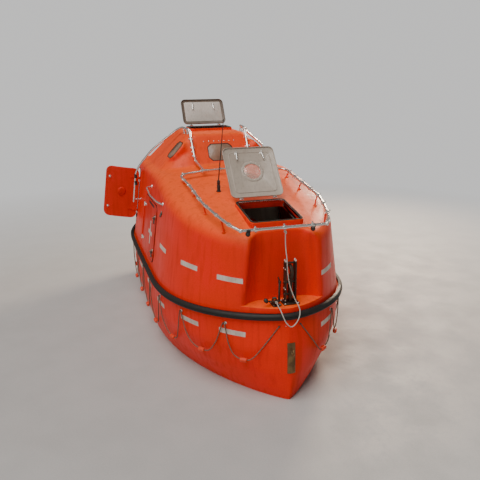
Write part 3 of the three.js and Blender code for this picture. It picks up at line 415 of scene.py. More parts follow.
def make_wear_and_light_masks():
    masks = [(name, SCALAR) for name in ("Patches", "Grain", "Streaks", "Specks", "Top light")]
    group, given, out = new_group("Wear and light masks", [("Scale", 1.0)], masks)
    place = add(group, "ShaderNodeTexCoord").outputs["Object"]
    scaling = {0: place, 3: given.outputs["Scale"]}
    sized = add(group, "ShaderNodeVectorMath", scaling, operation="SCALE").outputs[0]
    broad = add(group, "ShaderNodeTexNoise", {"Vector": sized, "Scale": 2.2, "Detail": 5.0})
    fine = add(group, "ShaderNodeTexNoise", {"Vector": sized, "Scale": 70.0, "Detail": 4.0})
    tall = add(group, "ShaderNodeMapping", {"Vector": sized, "Scale": (9.0, 9.0, 0.7)}).outputs[0]
    runs = add(group, "ShaderNodeTexNoise", {"Vector": tall, "Scale": 2.0, "Detail": 6.0})
    dotted = {"Vector": sized, "Scale": 24.0, "Detail": 8.0, "Roughness": 0.7}
    dots = add(group, "ShaderNodeTexNoise", dotted)
    # the sky mask: how far a face looks up, used for the painted top light
    facing = add(group, "ShaderNodeSeparateXYZ", {0: add(group, "ShaderNodeNewGeometry").outputs["Normal"]})
    found = {"Patches": spread(group, broad.outputs[0], 0.38, 0.64), "Grain": fine.outputs[0],
             "Streaks": spread(group, runs.outputs[0], 0.5, 0.74),
             "Specks": spread(group, dots.outputs[0], 0.6, 0.7),
             "Top light": spread(group, facing.outputs[2], 0.15, 0.95)}
    for name, value in found.items():
        group.links.new(value, out.inputs[name])
    return group


def make_relief():
    inputs = [("Scale", 30.0), ("Height", 0.001), ("Strength", 0.5)]
    group, given, out = new_group("Relief", inputs, [("Normal", "NodeSocketVector")])
    place = add(group, "ShaderNodeTexCoord").outputs["Object"]
    noise = {"Vector": place, "Scale": given.outputs["Scale"], "Detail": 4.0}
    height = add(group, "ShaderNodeTexNoise", noise).outputs[0]
    bump = {"Height": height, "Distance": given.outputs["Height"], "Strength": given.outputs["Strength"]}
    group.links.new(add(group, "ShaderNodeBump", bump).outputs[0], out.inputs["Normal"])
    return group


def make_rope_lay():
    """Strands seen along a rope whose UV runs once round it, and along it in metres."""
    inputs = [("Strands", 3.0), ("Pitch", 0.05), ("Both ways", 0.0)]
    group, given, out = new_group("Rope lay", inputs, [("Height", SCALAR), ("Normal", "NodeSocketVector")])
    parts = add(group, "ShaderNodeSeparateXYZ", {0: add(group, "ShaderNodeTexCoord").outputs["UV"]})
    around = maths(group, "MULTIPLY", parts.outputs[0], given.outputs["Strands"])
    on = maths(group, "DIVIDE", parts.outputs[1], given.outputs["Pitch"])
    waves = []
    for way in ("ADD", "SUBTRACT"):
        turn = maths(group, "MULTIPLY", maths(group, way, around, on), 2 * pi)
        waves.append(maths(group, "ABSOLUTE", maths(group, "SINE", maths(group, "MULTIPLY", turn, 0.5))))
    crossed = maths(group, "MULTIPLY", waves[0], waves[1])
    height = add(group, "ShaderNodeMix", {0: given.outputs["Both ways"], 2: waves[0], 3: crossed}).outputs[0]
    normal = add(group, "ShaderNodeBump", {"Height": height, "Distance": 0.002, "Strength": 0.9}).outputs[0]
    group.links.new(height, out.inputs["Height"])
    group.links.new(normal, out.inputs["Normal"])
    return group


WEAR_AND_LIGHT_MASKS = make_wear_and_light_masks()
RELIEF = make_relief()
ROPE_LAY = make_rope_lay()
print("groups", [g.name for g in bpy.data.node_groups])

# %% [markdown]
# ## The finishes
# `finish` makes most of the surfaces: a clean tone and a worn one in patches, dirt in streaks and specks, a
# roughness that wanders, and a fine relief. Given a sky colour, it paints upward faces lighter as painted top
# light. A thin clear coat gives gelcoat and paint their upper highlight.

# %% Finishes
GRAIN_DARK, GRAIN_LIGHT = (0.86, 0.86, 0.86, 1), (1.08, 1.08, 1.08, 1)
COAT_ROUGHNESS = 0.14
STREAK_ROUGHNESS = 0.12  # how much rougher a surface is where a streak has dried on it


def blank_material(name):
    material = bpy.data.materials.new(name)
    material.use_nodes = True
    material.node_tree.nodes.clear()
    return material, material.node_tree


def masks_of(tree, scale):
    return add(tree, "ShaderNodeGroup", {"Scale": scale}, node_tree=WEAR_AND_LIGHT_MASKS).outputs


def relief_normal(tree, scale, height, strength):
    inputs = {"Scale": scale, "Height": height, "Strength": strength}
    return add(tree, "ShaderNodeGroup", inputs, node_tree=RELIEF).outputs[0]


# Mixes a colour in by a mask: dirt with the streak, speck and patch masks, a painted top light with the sky
# mask.
def soiled_or_lit(tree, tone, mask, amount, dirt):
    return mixed(tree, maths(tree, "MULTIPLY", mask, amount), tone, (*dirt, 1))


def shaded(tree, inputs):
    """The material's own shader, with every plain value set on its socket."""
    shader = add(tree, "ShaderNodeBsdfPrincipled", inputs)
    add(tree, "ShaderNodeOutputMaterial", {"Surface": shader.outputs[0]})


def finish(name, clean, worn, rough=(0.3, 0.5), metal=0.0, coat=0.0, scale=1.0, dirt=(0.1, 0.08, 0.06),
           streaks=0.25, specks=0.2, relief=(40.0, 0.0006, 0.4), sky=None, gloss=0.5):
    """A surface. Colours are linear, `relief` is (scale, height, strength), `sky` a colour and its share,
    painted on upward faces as a painted top light.
    """
    material, tree = blank_material(name)
    masks = masks_of(tree, scale)
    tone = mixed(tree, masks["Patches"], (*clean, 1), (*worn, 1))
    # Painted top light: faces that look up get the lighter sky colour, as if lit from above.
    if sky:
        tone = soiled_or_lit(tree, tone, masks["Top light"], sky[3], sky[:3])
    dulled = mixed(tree, masks["Grain"], GRAIN_DARK, GRAIN_LIGHT)
    tone = mixed(tree, 1.0, tone, dulled, "MULTIPLY")
    tone = soiled_or_lit(tree, tone, masks["Streaks"], streaks, dirt)
    tone = soiled_or_lit(tree, tone, masks["Specks"], specks, dirt)
    sheen = spread(tree, masks["Patches"], 0.0, 1.0, *rough)
    sheen = maths(tree, "ADD", sheen, maths(tree, "MULTIPLY", masks["Streaks"], STREAK_ROUGHNESS))
    shaded(tree, {"Base Color": tone, "Roughness": sheen, "Normal": relief_normal(tree, *relief),
                  "Metallic": metal, "Specular IOR Level": gloss, "Coat Weight": coat,
                  "Coat Roughness": COAT_ROUGHNESS})
    return material


# The gelcoat's sky colour is a painted top light: a brighter orange on the deck, roof and other upward faces.
ORANGE = finish(
    "orange gelcoat", (0.82, 0.015, 0.0), (0.76, 0.022, 0.0), (0.42, 0.58), coat=0.04,
    dirt=(0.36, 0.018, 0.0), streaks=0.3, relief=(9.0, 0.004, 0.12), sky=(1.0, 0.14, 0.015, 0.7),
    gloss=0.22)
DOOR_ORANGE = finish(
    "door gelcoat", (0.7, 0.013, 0.0), (0.62, 0.016, 0.0), (0.42, 0.6), coat=0.03, gloss=0.22,
    dirt=(0.26, 0.02, 0.006), streaks=0.35, specks=0.25, relief=(12.0, 0.003, 0.15))
FLOAT_ORANGE = finish(
    "float orange", (0.8, 0.05, 0.004), (0.68, 0.035, 0.003), (0.4, 0.6), scale=6.0,
    relief=(150.0, 0.0008, 0.5))
INSIDE = finish(
    "inner side of the skins", (0.42, 0.37, 0.31), (0.36, 0.31, 0.25), (0.5, 0.7),
    relief=(60.0, 0.002, 0.5))
LINER = finish(
    "cabin moulding", (0.5, 0.47, 0.41), (0.42, 0.39, 0.33), (0.4, 0.6), relief=(50.0, 0.001, 0.4))
print("gelcoats and mouldings", len(bpy.data.materials))

# %% [markdown]
# The metals differ mostly in how far they have aged. Stainless steel stays bright with a little brown bloom,
# the cast fittings are grey and dull, the painted steel of the hooks rusts, and the bronze plate has gone
# brown.

# %% Metals
STAINLESS = finish(
    "stainless steel", (0.86, 0.85, 0.83), (0.74, 0.72, 0.69), (0.16, 0.3), metal=0.9, scale=4.0,
    dirt=(0.3, 0.2, 0.12), streaks=0.15, specks=0.25, relief=(160.0, 0.0002, 0.3))
GREY_STEEL = finish(
    "cast grey steel", (0.2, 0.175, 0.15), (0.12, 0.09, 0.07), (0.35, 0.6), metal=0.8, scale=6.0,
    dirt=(0.1, 0.06, 0.04), streaks=0.4, specks=0.5, relief=(120.0, 0.001, 0.6))
DARK_STEEL = finish(
    "rusty dark steel", (0.02, 0.017, 0.015), (0.06, 0.03, 0.018), (0.4, 0.7), metal=0.3, scale=6.0,
    dirt=(0.16, 0.06, 0.022), streaks=0.4, specks=0.5, relief=(120.0, 0.0015, 0.7))
BRONZE = finish(
    "dull bronze", (0.25, 0.15, 0.065), (0.16, 0.09, 0.045), (0.35, 0.62), metal=0.75, scale=6.0,
    dirt=(0.12, 0.075, 0.04), streaks=0.5, specks=0.5, relief=(90.0, 0.0015, 0.6))
ENGINE = finish(
    "engine paint", (0.06, 0.075, 0.08), (0.04, 0.045, 0.048), (0.35, 0.6), metal=0.2, scale=4.0,
    relief=(60.0, 0.002, 0.5))
print("with metals", len(bpy.data.materials))

# %% [markdown]
# Rubber, plastics and vinyl are told apart by their roughness and by how coarse their relief is. The
# reflective tape is a dull pale foil with dirt on it, which in soft light looks no brighter than paint.

# %% Rubber and plastics
RUBBER = finish(
    "black rubber", (0.005, 0.0048, 0.0048), (0.009, 0.0085, 0.008), (0.55, 0.75),
    dirt=(0.03, 0.025, 0.02), streaks=0.2, specks=0.25, relief=(90.0, 0.0008, 0.5))
BLACK = finish(
    "black plastic", (0.012, 0.012, 0.013), (0.026, 0.025, 0.024), (0.32, 0.5), scale=5.0,
    relief=(120.0, 0.0005, 0.4))
COVER = finish(
    "grey cover moulding", (0.46, 0.4, 0.34), (0.4, 0.335, 0.28), (0.3, 0.48), coat=0.2, scale=2.5,
    dirt=(0.16, 0.12, 0.09), streaks=0.3, specks=0.25, relief=(30.0, 0.0012, 0.3))
FRAME_BROWN = finish(
    "brown-grey frame", (0.17, 0.125, 0.095), (0.13, 0.095, 0.07), (0.4, 0.6), scale=3.0,
    relief=(50.0, 0.001, 0.4))
PANEL = finish(
    "pale inner panel", (0.66, 0.6, 0.55), (0.57, 0.5, 0.45), (0.35, 0.55), scale=2.5,
    dirt=(0.3, 0.22, 0.17), streaks=0.3, specks=0.3, relief=(30.0, 0.0012, 0.3))
VINYL = finish(
    "seat vinyl", (0.018, 0.018, 0.02), (0.03, 0.03, 0.03), (0.4, 0.6), scale=4.0,
    relief=(220.0, 0.0012, 0.7))
TAPE = finish(
    "reflective tape", (0.62, 0.55, 0.5), (0.5, 0.43, 0.38), (0.3, 0.48), scale=5.0, dirt=(0.3, 0.16, 0.1),
    streaks=0.5, specks=0.45, relief=(300.0, 0.0003, 0.5))
print("finishes", len(bpy.data.materials))

# %% [markdown]
# Glass and rope need their own recipes. Glass lets light through, with dust as a rougher, paler film. Rope
# takes its strands from the UV that follows it, so the lay winds round it however it hangs. The grooves
# between the strands are painted darker as painted shade.

# %% Glass and rope
ACRYLIC = 1.49
DUST_SCALE, DUST_ROUGHNESS = 3.0, 0.14
GLASS_RELIEF = (6.0, 0.0006, 0.1)


def glass(name, tint, see_through, rough, dust):
    material, tree = blank_material(name)
    patches = masks_of(tree, DUST_SCALE)["Patches"]
    colour = mixed(tree, patches, (*tint, 1), (*dust, 1))
    sheen = spread(tree, patches, 0.0, 1.0, rough, rough + DUST_ROUGHNESS)
    shaded(tree, {"Base Color": colour, "Roughness": sheen, "Normal": relief_normal(tree, *GLASS_RELIEF),
                  "Metallic": 0.0, "Transmission Weight": see_through, "IOR": ACRYLIC})
    return material


ROPE_WEAR_SCALE = 5.0


def rope_finish(name, light, dark, strands, pitch, both_ways):
    material, tree = blank_material(name)
    inputs = {"Strands": strands, "Pitch": pitch, "Both ways": both_ways}
    lay = add(tree, "ShaderNodeGroup", inputs, node_tree=ROPE_LAY).outputs
    masks = masks_of(tree, ROPE_WEAR_SCALE)
    # Painted shade: the grooves between strands take the dark colour, the crowns the light one.
    tone = mixed(tree, lay["Height"], (*dark, 1), (*light, 1))
    tone = soiled_or_lit(tree, tone, masks["Patches"], 0.35, dark)
    sheen = spread(tree, masks["Grain"], 0.3, 0.7, 0.7, 0.95)
    shaded(tree, {"Base Color": tone, "Roughness": sheen, "Normal": lay["Normal"]})
    return material


WINDOW = glass("smoked window", (0.22, 0.13, 0.09), 0.06, 0.14, (0.32, 0.21, 0.15))
CLEAR = glass("clear pane", (0.86, 0.8, 0.74), 0.72, 0.08, (0.7, 0.6, 0.52))
WHITE_ROPE = rope_finish("white braid", (0.72, 0.68, 0.63), (0.34, 0.3, 0.26), 6.0, 0.03, 1.0)
DARK_ROPE = rope_finish("tarred lifeline", (0.25, 0.15, 0.1), (0.08, 0.05, 0.035), 3.0, 0.05, 0.0)
print("all finishes", len(bpy.data.materials))

# %% [markdown]
# ## Floor and light
# The boat is shown down to its waterline, so the pale floor meets the hull there. Far out the floor fades
# into the backdrop, which leaves no hard horizon behind the deck. A very soft sun lights everything evenly,
# a warm lamp behind to port rakes the deck, and a weak one fills the bow.

# %% Floor and light
PAPER = (0.74, 0.735, 0.73, 1)


def make_floor():
    floor = bare("floor", prism([(-60, -60), (60, -60), (60, 60), (-60, 60)], -0.01, 0.0))
    material = finish("pale floor", (0.46, 0.456, 0.452), (0.43, 0.426, 0.422), (0.6, 0.75), streaks=0.0,
                      specks=0.02, relief=(3.0, 0.001, 0.1))
    tree = material.node_tree
    shader = next(n for n in tree.nodes if n.type == "BSDF_PRINCIPLED")
    target = next(n for n in tree.nodes if n.type == "OUTPUT_MATERIAL")
    place = add(tree, "ShaderNodeTexCoord").outputs["Object"]
    away = add(tree, "ShaderNodeVectorMath", {0: place}, operation="LENGTH").outputs["Value"]
    glow = add(tree, "ShaderNodeEmission", {"Color": PAPER, "Strength": 1.0}).outputs[0]
    seen = add(tree, "ShaderNodeLightPath").outputs["Is Camera Ray"]
    share = maths(tree, "MULTIPLY", spread(tree, away, 3.5, 10.0), seen)
    faded = add(tree, "ShaderNodeMixShader", {0: share, 1: shader.outputs[0], 2: glow})
    tree.links.new(faded.outputs[0], target.inputs["Surface"])
    floor.data.materials.append(material)
    return floor


LAMPS = [
    # name, place, aimed at, size, watts, colour
    ("low sun", (-5.5, 6.0, 4.4), (0.5, 0.0, 1.5), 2.0, 900, (1.0, 0.8, 0.6)),
    ("bow fill", (8.0, -6.0, 3.0), (1.0, 0.0, 1.0), 4.0, 110, (1.0, 0.9, 0.8)),
]


def placed_lamp(name, lamp, place, target):
    obj = bpy.data.objects.new(name, lamp)
    obj.location = place
    obj.rotation_euler = (Vector(target) - Vector(place)).to_track_quat("-Z", "Y").to_euler()
    bpy.context.scene.collection.objects.link(obj)


def make_lamps():
    for name, place, target, size, watts, colour in LAMPS:
        lamp = bpy.data.lights.new(name, "AREA")
        lamp.size = size
        lamp.energy = watts
        lamp.color = colour
        placed_lamp(name, lamp, place, target)
    sky = bpy.data.lights.new("soft sun", "SUN")
    sky.energy = 2.9
    sky.angle = radians(50)
    sky.color = (1.0, 0.96, 0.91)
    placed_lamp("soft sun", sky, (0.9, -1.25, 3.2), (0.0, 0.0, 0.0))
    world = bpy.data.worlds.new("studio")
    world.use_nodes = True
    tree = world.node_tree
    tree.nodes.clear()
    seen = add(tree, "ShaderNodeLightPath").outputs["Is Camera Ray"]
    glow = add(tree, "ShaderNodeBackground", {"Color": (0.8, 0.76, 0.72, 1), "Strength": 0.22}).outputs[0]
    paper = add(tree, "ShaderNodeBackground", {"Color": PAPER, "Strength": 1.0}).outputs[0]
    backdrop = add(tree, "ShaderNodeMixShader", {0: seen, 1: glow, 2: paper}).outputs[0]
    add(tree, "ShaderNodeOutputWorld", {"Surface": backdrop})
    bpy.context.scene.world = world


make_floor()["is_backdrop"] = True
make_lamps()
print("lamps", [row[0] for row in LAMPS] + ["soft sun"])

# %% [markdown]
# ## The hull's outline
# A moulded hull is drawn as level lines. Each line here is straight amidships and closes at both ends in a
# superellipse, and the gunwale rises towards bow and stern, which boatbuilders call the sheer. The numbers
# are those of the CAD part, and in-between levels are blended so that the sides swell smoothly.

# %% Hull outline
GUNWALE = 0.800
SHEER = 0.110
KEEL = -0.420
HALF_LENGTH = 2.5
HULL_LEVELS = [
    # height, half breadth, bow tip, bow starts, p, q, stern tip, stern starts, p, q
    (KEEL, 0.046, 1.74, 0.0, 2.0, 1.0, -1.1, -0.3, 2.0, 1.0),
    (-0.300, 0.560, 2.25, 0.06, 2.0, 1.05, -1.46, -0.45, 2.0, 1.05),
    (-0.200, 0.780, 2.4, 0.15, 2.0, 1.08, -1.66, -0.5, 2.0, 1.1),
    (-0.080, 0.920, 2.5, 0.24, 2.0, 1.14, -1.93, -0.6, 2.0, 1.2),
    (0.060, 1.000, 2.55, 0.32, 2.05, 1.24, -2.21, -0.76, 2.1, 1.3),
    (0.250, 1.048, 2.565, 0.47, 2.2, 1.4, -2.35, -0.86, 2.3, 1.42),
    (0.480, 1.068, 2.555, 0.62, 2.42, 1.52, -2.415, -0.94, 2.4, 1.54),
    (GUNWALE, 1.075, 2.51, 0.7, 2.53, 1.57, -2.435, -1.0, 2.5, 1.6),
]
TOP_LEVEL = HULL_LEVELS[-1]


def smoothstep(value, low, high):
    t = min(1.0, max(0.0, (value - low) / (high - low)))
    return t * t * (3 - 2 * t)


def sheer(x, z):
    share = min(1.0, max(0.0, (z - KEEL) / (GUNWALE - KEEL)))
    return SHEER * (x / HALF_LENGTH) ** 2 * share


def level_at(z):
    """The hull's level line at any height, blended between its neighbours."""
    i = max(k for k in range(len(HULL_LEVELS) - 1) if HULL_LEVELS[k][0] <= z + 1e-9)
    low, high = HULL_LEVELS[i], HULL_LEVELS[i + 1]
    t = (z - low[0]) / (high[0] - low[0])
    return tuple(a + (b - a) * t for a, b in zip(low, high))


def outline(level, inset=0.0, steps=36, straight=8):
    """The level line as (x, y) pairs, from the bow round by port and back by starboard."""
    _, half, bow, fore, p, q, stern, aft, sp, sq = level
    half -= inset
    side = []
    for i in range(steps + 1):
        a = pi / 2 * i / steps
        x = fore + (bow - inset - fore) * max(0.0, cos(a)) ** (2 / p)
        side.append((x, half * sin(a) ** (2 / q)))
    side += [(fore + (aft - fore) * i / straight, half) for i in range(1, straight + 1)]
    for i in range(1, steps + 1):
        a = pi / 2 * (1 - i / steps)
        x = aft - (aft - stern - inset) * max(0.0, cos(a)) ** (2 / sp)
        side.append((x, half * sin(a) ** (2 / sq)))
    side[0] = (side[0][0], 0.0)
    side[-1] = (side[-1][0], 0.0)
    return side + [(x, -y) for x, y in side[-2:0:-1]]


def level_ring(z, inset=0.0):
    return [Vector((x, y, z + sheer(x, z))) for x, y in outline(level_at(z), inset)]


def half_at(level, x, inset=0.0):
    """Half the breadth of a level line at x."""
    _, half, bow, fore, p, q, stern, aft, sp, sq = level
    half -= inset
    if x > fore:
        return half * max(0.0, 1 - ((x - fore) / (bow - inset - fore)) ** p) ** (1 / q)
    if x < aft:
        return half * max(0.0, 1 - ((aft - x) / (aft - stern - inset)) ** sp) ** (1 / sq)
    return half


def beside(x, z, stand):
    """A point beside the hull at a height, standing off square to its side, to port."""
    level = level_at(min(z, GUNWALE))
    half = half_at(level, x)
    slope = (half_at(level, x + 0.005) - half_at(level, x - 0.005)) / 0.01
    length = hypot(slope, 1)
    return Vector((x - stand * slope / length, half + stand / length, z))


print("half breadth at the bow eye", round(half_at(TOP_LEVEL, 2.4), 3))

# %% [markdown]
# ## Ropes
# The towing line is a real length of limp white braid. It is made fast at the rail over the bow, hangs down
# the niche, drops over the fender in a loop, and comes back to its release. A rope is a tube with a UV that
# follows it, so that the strands wind round it.

# %% Ropes
TOWING_LINE = [
    (2.330, 0.009, 1.722), (2.345, 0.006, 1.590), (2.392, 0.004, 1.460), (2.408, 0.008, 1.330),
    (2.420, 0.026, 1.200), (2.456, 0.062, 1.075), (2.510, 0.088, 1.003), (2.572, 0.076, 0.982),
    (2.612, 0.052, 0.930), (2.624, 0.010, 0.872), (2.624, -0.036, 0.850), (2.612, -0.080, 0.890),
    (2.588, -0.104, 0.950), (2.540, -0.112, 0.994), (2.470, -0.110, 1.008), (2.4135, -0.109, 1.027),
]
TOWING_RADIUS = 0.0055


def run_length(line):
    return sum((b - a).length for a, b in zip(line, line[1:]))


def rope(name, line, radius, material, sides=12):
    """A tube with its strands' UV: once round it, and along it in metres."""
    shape = tube(line, radius, sides)
    obj = bare(name, shape)
    distances = [0.0]
    for a, b in zip(line, line[1:]):
        distances.append(distances[-1] + (b - a).length)
    layer = obj.data.uv_layers.new(name="UVMap")
    for face in obj.data.polygons:
        corners = list(zip(face.loop_indices, face.vertices))
        wraps = len(corners) == 4 and {0, sides - 1} <= {v % sides for _, v in corners}
        for loop, vertex in corners:
            around = vertex % sides or (sides if wraps else 0)
            layer.data[loop].uv = (around / sides, distances[vertex // sides])
    return dressed(obj, material, angle=60)


def knot(name, centre, radius, material):
    """A stopper knot: the rope's end wound over itself."""
    turns = 3.0
    line = []
    for i in range(61):
        t = i / 60
        a = 2 * pi * turns * t
        out = radius * (0.5 + 0.28 * cos(2 * a / 3))
        line.append(Vector(centre) + Vector((out * cos(a), out * sin(a),
                                             radius * 0.8 * (2 * t - 1) * cos(a / 3))))
    return rope(name, line, TOWING_RADIUS * 0.95, material)


towing_path = smooth_line(TOWING_LINE, 6)
towing = rope("towing_line", towing_path, TOWING_RADIUS, WHITE_ROPE)
upper_knot = knot("towing_knot_rail", TOWING_LINE[0], 0.017, WHITE_ROPE)
lower_knot = knot("towing_knot_release", TOWING_LINE[-1], 0.016, WHITE_ROPE)
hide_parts("painter_line")
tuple(TOWING_LINE[0])
run_length(towing_path)
[tuple(p) for p in towing_path]
print("towing line", round(run_length(towing_path), 3), "m")

# %% [markdown]
# ## Lifelines
# A rope is looped along each side as a low handhold. It is tied at an eye under the fender, sags to the
# next, and carries an orange float at the bottom of each bight. Its curve comes from a formula for the sag,
# so that every bight hangs alike, and `beside` keeps it just off the hull's side.

# %% Lifelines
EYES = [2.490, 2.190, 1.670, 1.100, 0.470, -0.130, -0.680, -1.160, -1.600, -1.970, -2.230]
LOWS = [0.370, 0.360, 0.310, 0.280, 0.260, 0.260, 0.280, 0.300, 0.330, 0.360]
ROPE_RADIUS = 0.006
EYE_HEIGHT = 0.702
STAND = 0.0156
STEPS = 8


def lifeline_route():
    route = []
    for x0, x1, low in zip(EYES, EYES[1:], LOWS):
        for step in range(STEPS):
            share = step / STEPS
            x = x0 + (x1 - x0) * share
            sag = 1 - abs(2 * share - 1) ** 2.7
            high = EYE_HEIGHT + sheer(x, GUNWALE)
            route.append(beside(x, high + (low + sheer(x, low) - high) * sag, STAND + 0.012 * sag))
    route.append(beside(EYES[-1], EYE_HEIGHT + sheer(EYES[-1], GUNWALE), STAND))
    return route


def float_shape(centre, run):
    """A bored cork-shaped float, threaded on the rope."""
    half, radius, edge = 0.040, 0.0235, 0.009
    profile = [(0.008, -half), (radius - edge, -half), (radius, -half + edge), (radius, half - edge),
               (radius - edge, half), (0.008, half)]
    turn = run.to_track_quat("Z", "Y").to_matrix().to_4x4()
    return moved(turned(profile, 24), shift(centre) @ turn)


def eye_shape(spot):
    """A small plate on the hull with a loop for the rope."""
    x, z = spot.x, spot.z
    out = (beside(x, z, 0.02) - beside(x, z, 0.0)).normalized()
    foot = beside(x, z, 0.0004)
    plate = rod(foot, foot + out * 0.003, 0.017, sides=20)
    post = rod(foot, foot + out * 0.012, 0.0045, sides=12)
    return merged(plate, post)


route = lifeline_route()
for side, matrix in FROM_PORT.items():
    line = [matrix @ p for p in smooth_line(route, 5)]
    lifeline = rope("lifeline_rope_" + side, line, ROPE_RADIUS, DARK_ROPE, 10)
    middles = [i * STEPS + STEPS // 2 for i in range(len(EYES) - 1)]
    lift = Vector((0, 0.006, 0))
    floats = [float_shape(route[i] + lift, route[i + 1] - route[i - 1]) for i in middles]
    corks = piece("lifeline_floats_" + side, moved(merged(*floats), matrix), FLOAT_ORANGE, bevel=0.002)
    tied = [route[i * STEPS] for i in range(len(EYES))]
    bands = [ball(p, 0.0105, 12) for p in tied]
    whipping = piece("lifeline_whippings_" + side, moved(merged(*bands), matrix), DARK_ROPE, angle=60)
    piece("lifeline_eyes_" + side, moved(merged(*[eye_shape(p) for p in tied]), matrix), STAINLESS)
    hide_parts("lifeline_" + side)
    tuple(line[0])
    run_length(line)
    [tuple(p) for p in line]
print("lifeline", round(run_length(line), 3), "m a side")

# %% [markdown]
# ## The hull skin
# The hull is one thick glass-fibre moulding. Its outer rings run up from the keel to the gunwale and its
# inner rings run back down, which gives one closed skin whose edge and inside can be seen through an open
# hatch.

# %% Hull
HULL_WALL = 0.036
HULL_STEP = 0.04
INNER_LEVELS = (GUNWALE, 0.48, 0.25, 0.06, -0.08, -0.2, -0.28)
SHOE_UNDER, SHOE_TOP, SKEG_HALF = -0.498, -0.470, 0.034


def hull_skin():
    heights = []
    for low, high in zip(HULL_LEVELS, HULL_LEVELS[1:]):
        count = max(2, round((high[0] - low[0]) / HULL_STEP))
        heights += [low[0] + (high[0] - low[0]) * i / count for i in range(count)]
    outer = [level_ring(z) for z in heights + [GUNWALE]]
    inner = [level_ring(z, HULL_WALL) for z in INNER_LEVELS]
    return strips(outer + inner)


def skeg_shape():
    """The fin under the keel, with the shoe that runs on under the propeller."""
    side = [(-0.45, KEEL + 0.03), (-0.9, SHOE_UNDER), (-2.2, SHOE_UNDER), (-2.2, SHOE_TOP),
            (-1.82, SHOE_TOP), (-1.78, -0.41), (-1.80, -0.118), (-1.3, -0.33), (-0.9, -0.33)]
    plate = prism(side, -SKEG_HALF, SKEG_HALF)
    return moved(plate, ON_EDGE)


hull = piece("hull_skin", hull_skin(), ORANGE, angle=40)
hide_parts("hull")
piece("skeg", skeg_shape(), ORANGE, bevel=0.008)
print("hull faces", len(hull.data.polygons))

# %% [markdown]
# ## The canopy's measures
# The canopy is one large moulding: walls that lean in a little, a round shoulder, a foredeck that falls
# towards the bow, and a wheelhouse like a cut-off pyramid. At both ends a niche makes room for the lifting
# hook.

# %% Canopy measures
CANOPY_INSET = 0.015
DECK_SLOPE = 0.154
DECK_X, DECK_Z = 0.600, 1.950
CAMBER = 0.060
SIDE_DECK = 1.975
SIDE_LEAN = 0.125
SPINE = 1.350
HOUSE = [
    # height, fore, aft, half breadth, corner radius
    (1.660, 0.090, -1.540, 0.850, 0.340),
    (1.860, 0.190, -1.640, 0.932, 0.400),
    (2.430, -0.200, -1.180, 0.400, 0.110),
    (2.452, -0.380, -1.070, 0.220, 0.110),
]
HOUSE_FOOT, HOUSE_TOP = HOUSE[1], HOUSE[2]
NICHE_WALL, NICHE_FLOOR, NICHE_HALF = 2.200, 0.985, 0.250
NICHE_SPREAD, NICHE_TAPER = 1.09, 0.29  # its breadth at the floor, and how fast it narrows upwards
NICHE_FLARE = [(0.0, 0.0), (0.03, 0.058), (0.105, 0.122), (0.22, 0.232), (0.42, 0.42)]
print("canopy measures", len(HOUSE), "levels of the wheelhouse")

# %% [markdown]
# ## Windows of the wheelhouse
# Each window lies in a plane of its own on one of the four leaning faces. The faces meet in wide round
# corners, so the moulding has a small flat seat under every window, and the form is built with those seats
# on it.

# %% Window planes
WINDOWS = {
    # place on its face, face, width, height
    "window_front": ((-0.045, 0.0, 2.205), "fore", 0.340, 0.250),
    "window_aft": ((-1.470, 0.0, 2.205), "aft", 0.340, 0.250),
    "window_side_starboard": ((-0.232, 0.0, 2.237), "starboard", 0.290, 0.265),
    "window_side_port": ((-0.232, 0.0, 2.237), "port", 0.290, 0.265),
}
WINDOW_CUT = 0.050  # the chamfer of a pane's corners
WINDOW_LEDGE = 0.014
SEAT_MARGIN, SEAT_DEPTH = 0.022, 0.240
RISE = HOUSE_TOP[0] - HOUSE_FOOT[0]
FACES = {
    # across, up
    "fore": ((0, 1, 0), (HOUSE_TOP[1] - HOUSE_FOOT[1], 0, RISE)),
    "aft": ((0, -1, 0), (HOUSE_TOP[2] - HOUSE_FOOT[2], 0, RISE)),
    "starboard": ((1, 0, 0), (0, HOUSE_FOOT[3] - HOUSE_TOP[3], RISE)),
    "port": ((-1, 0, 0), (0, HOUSE_TOP[3] - HOUSE_FOOT[3], RISE)),
}


def window_matrix(place, face):
    share = (place[2] - HOUSE_FOOT[0]) / RISE
    fore, aft, half = (a + (b - a) * share for a, b in zip(HOUSE_FOOT[1:4], HOUSE_TOP[1:4]))
    x, y, z = place
    spot = {"fore": (fore, y, z), "aft": (aft, y, z), "starboard": (x, -half, z), "port": (x, half, z)}[face]
    across = Vector(FACES[face][0])
    up = Vector(FACES[face][1]).normalized()
    turn = Matrix((across, up, across.cross(up))).transposed().to_4x4()
    return shift(spot) @ turn


def window_outline(row, shrink):
    _, face, wide, tall = row
    w, t = wide / 2 - shrink, tall / 2 - shrink
    c = WINDOW_CUT - 0.4 * shrink
    lean = {"starboard": -0.06, "port": 0.06}.get(face, 0.0)
    corners = [(c - w, -t), (w - c, -t), (w, c - t), (w, t - c),
               (w - c, t), (c - w, t), (-w, t - c), (-w, c - t)]
    return [(x + lean * y, y) for x, y in corners]


def window_prism(row, shrink, low, high):
    return moved(prism(window_outline(row, shrink), low, high), window_matrix(row[0], row[1]))


print("windows", len(WINDOWS))

# %% [markdown]
# ## The canopy's form
# Columns of points run from the foot over the shoulder to the spine. Wheelhouse, window seats and niches are
# joined on or cut out, and the sharp joins are then remeshed and relaxed, as a mould maker fairs filler. The
# niches get more of it, and their flat ledge is put in afterwards, so that its edge stays crisp.

# %% Canopy form
def deck_edge(x):
    fore = DECK_Z - DECK_SLOPE * (x - DECK_X)
    share = smoothstep(x, -0.3, 0.6)
    return (SIDE_DECK - 0.55 * max(0.0, -1.7 - x)) * (1 - share) + fore * share


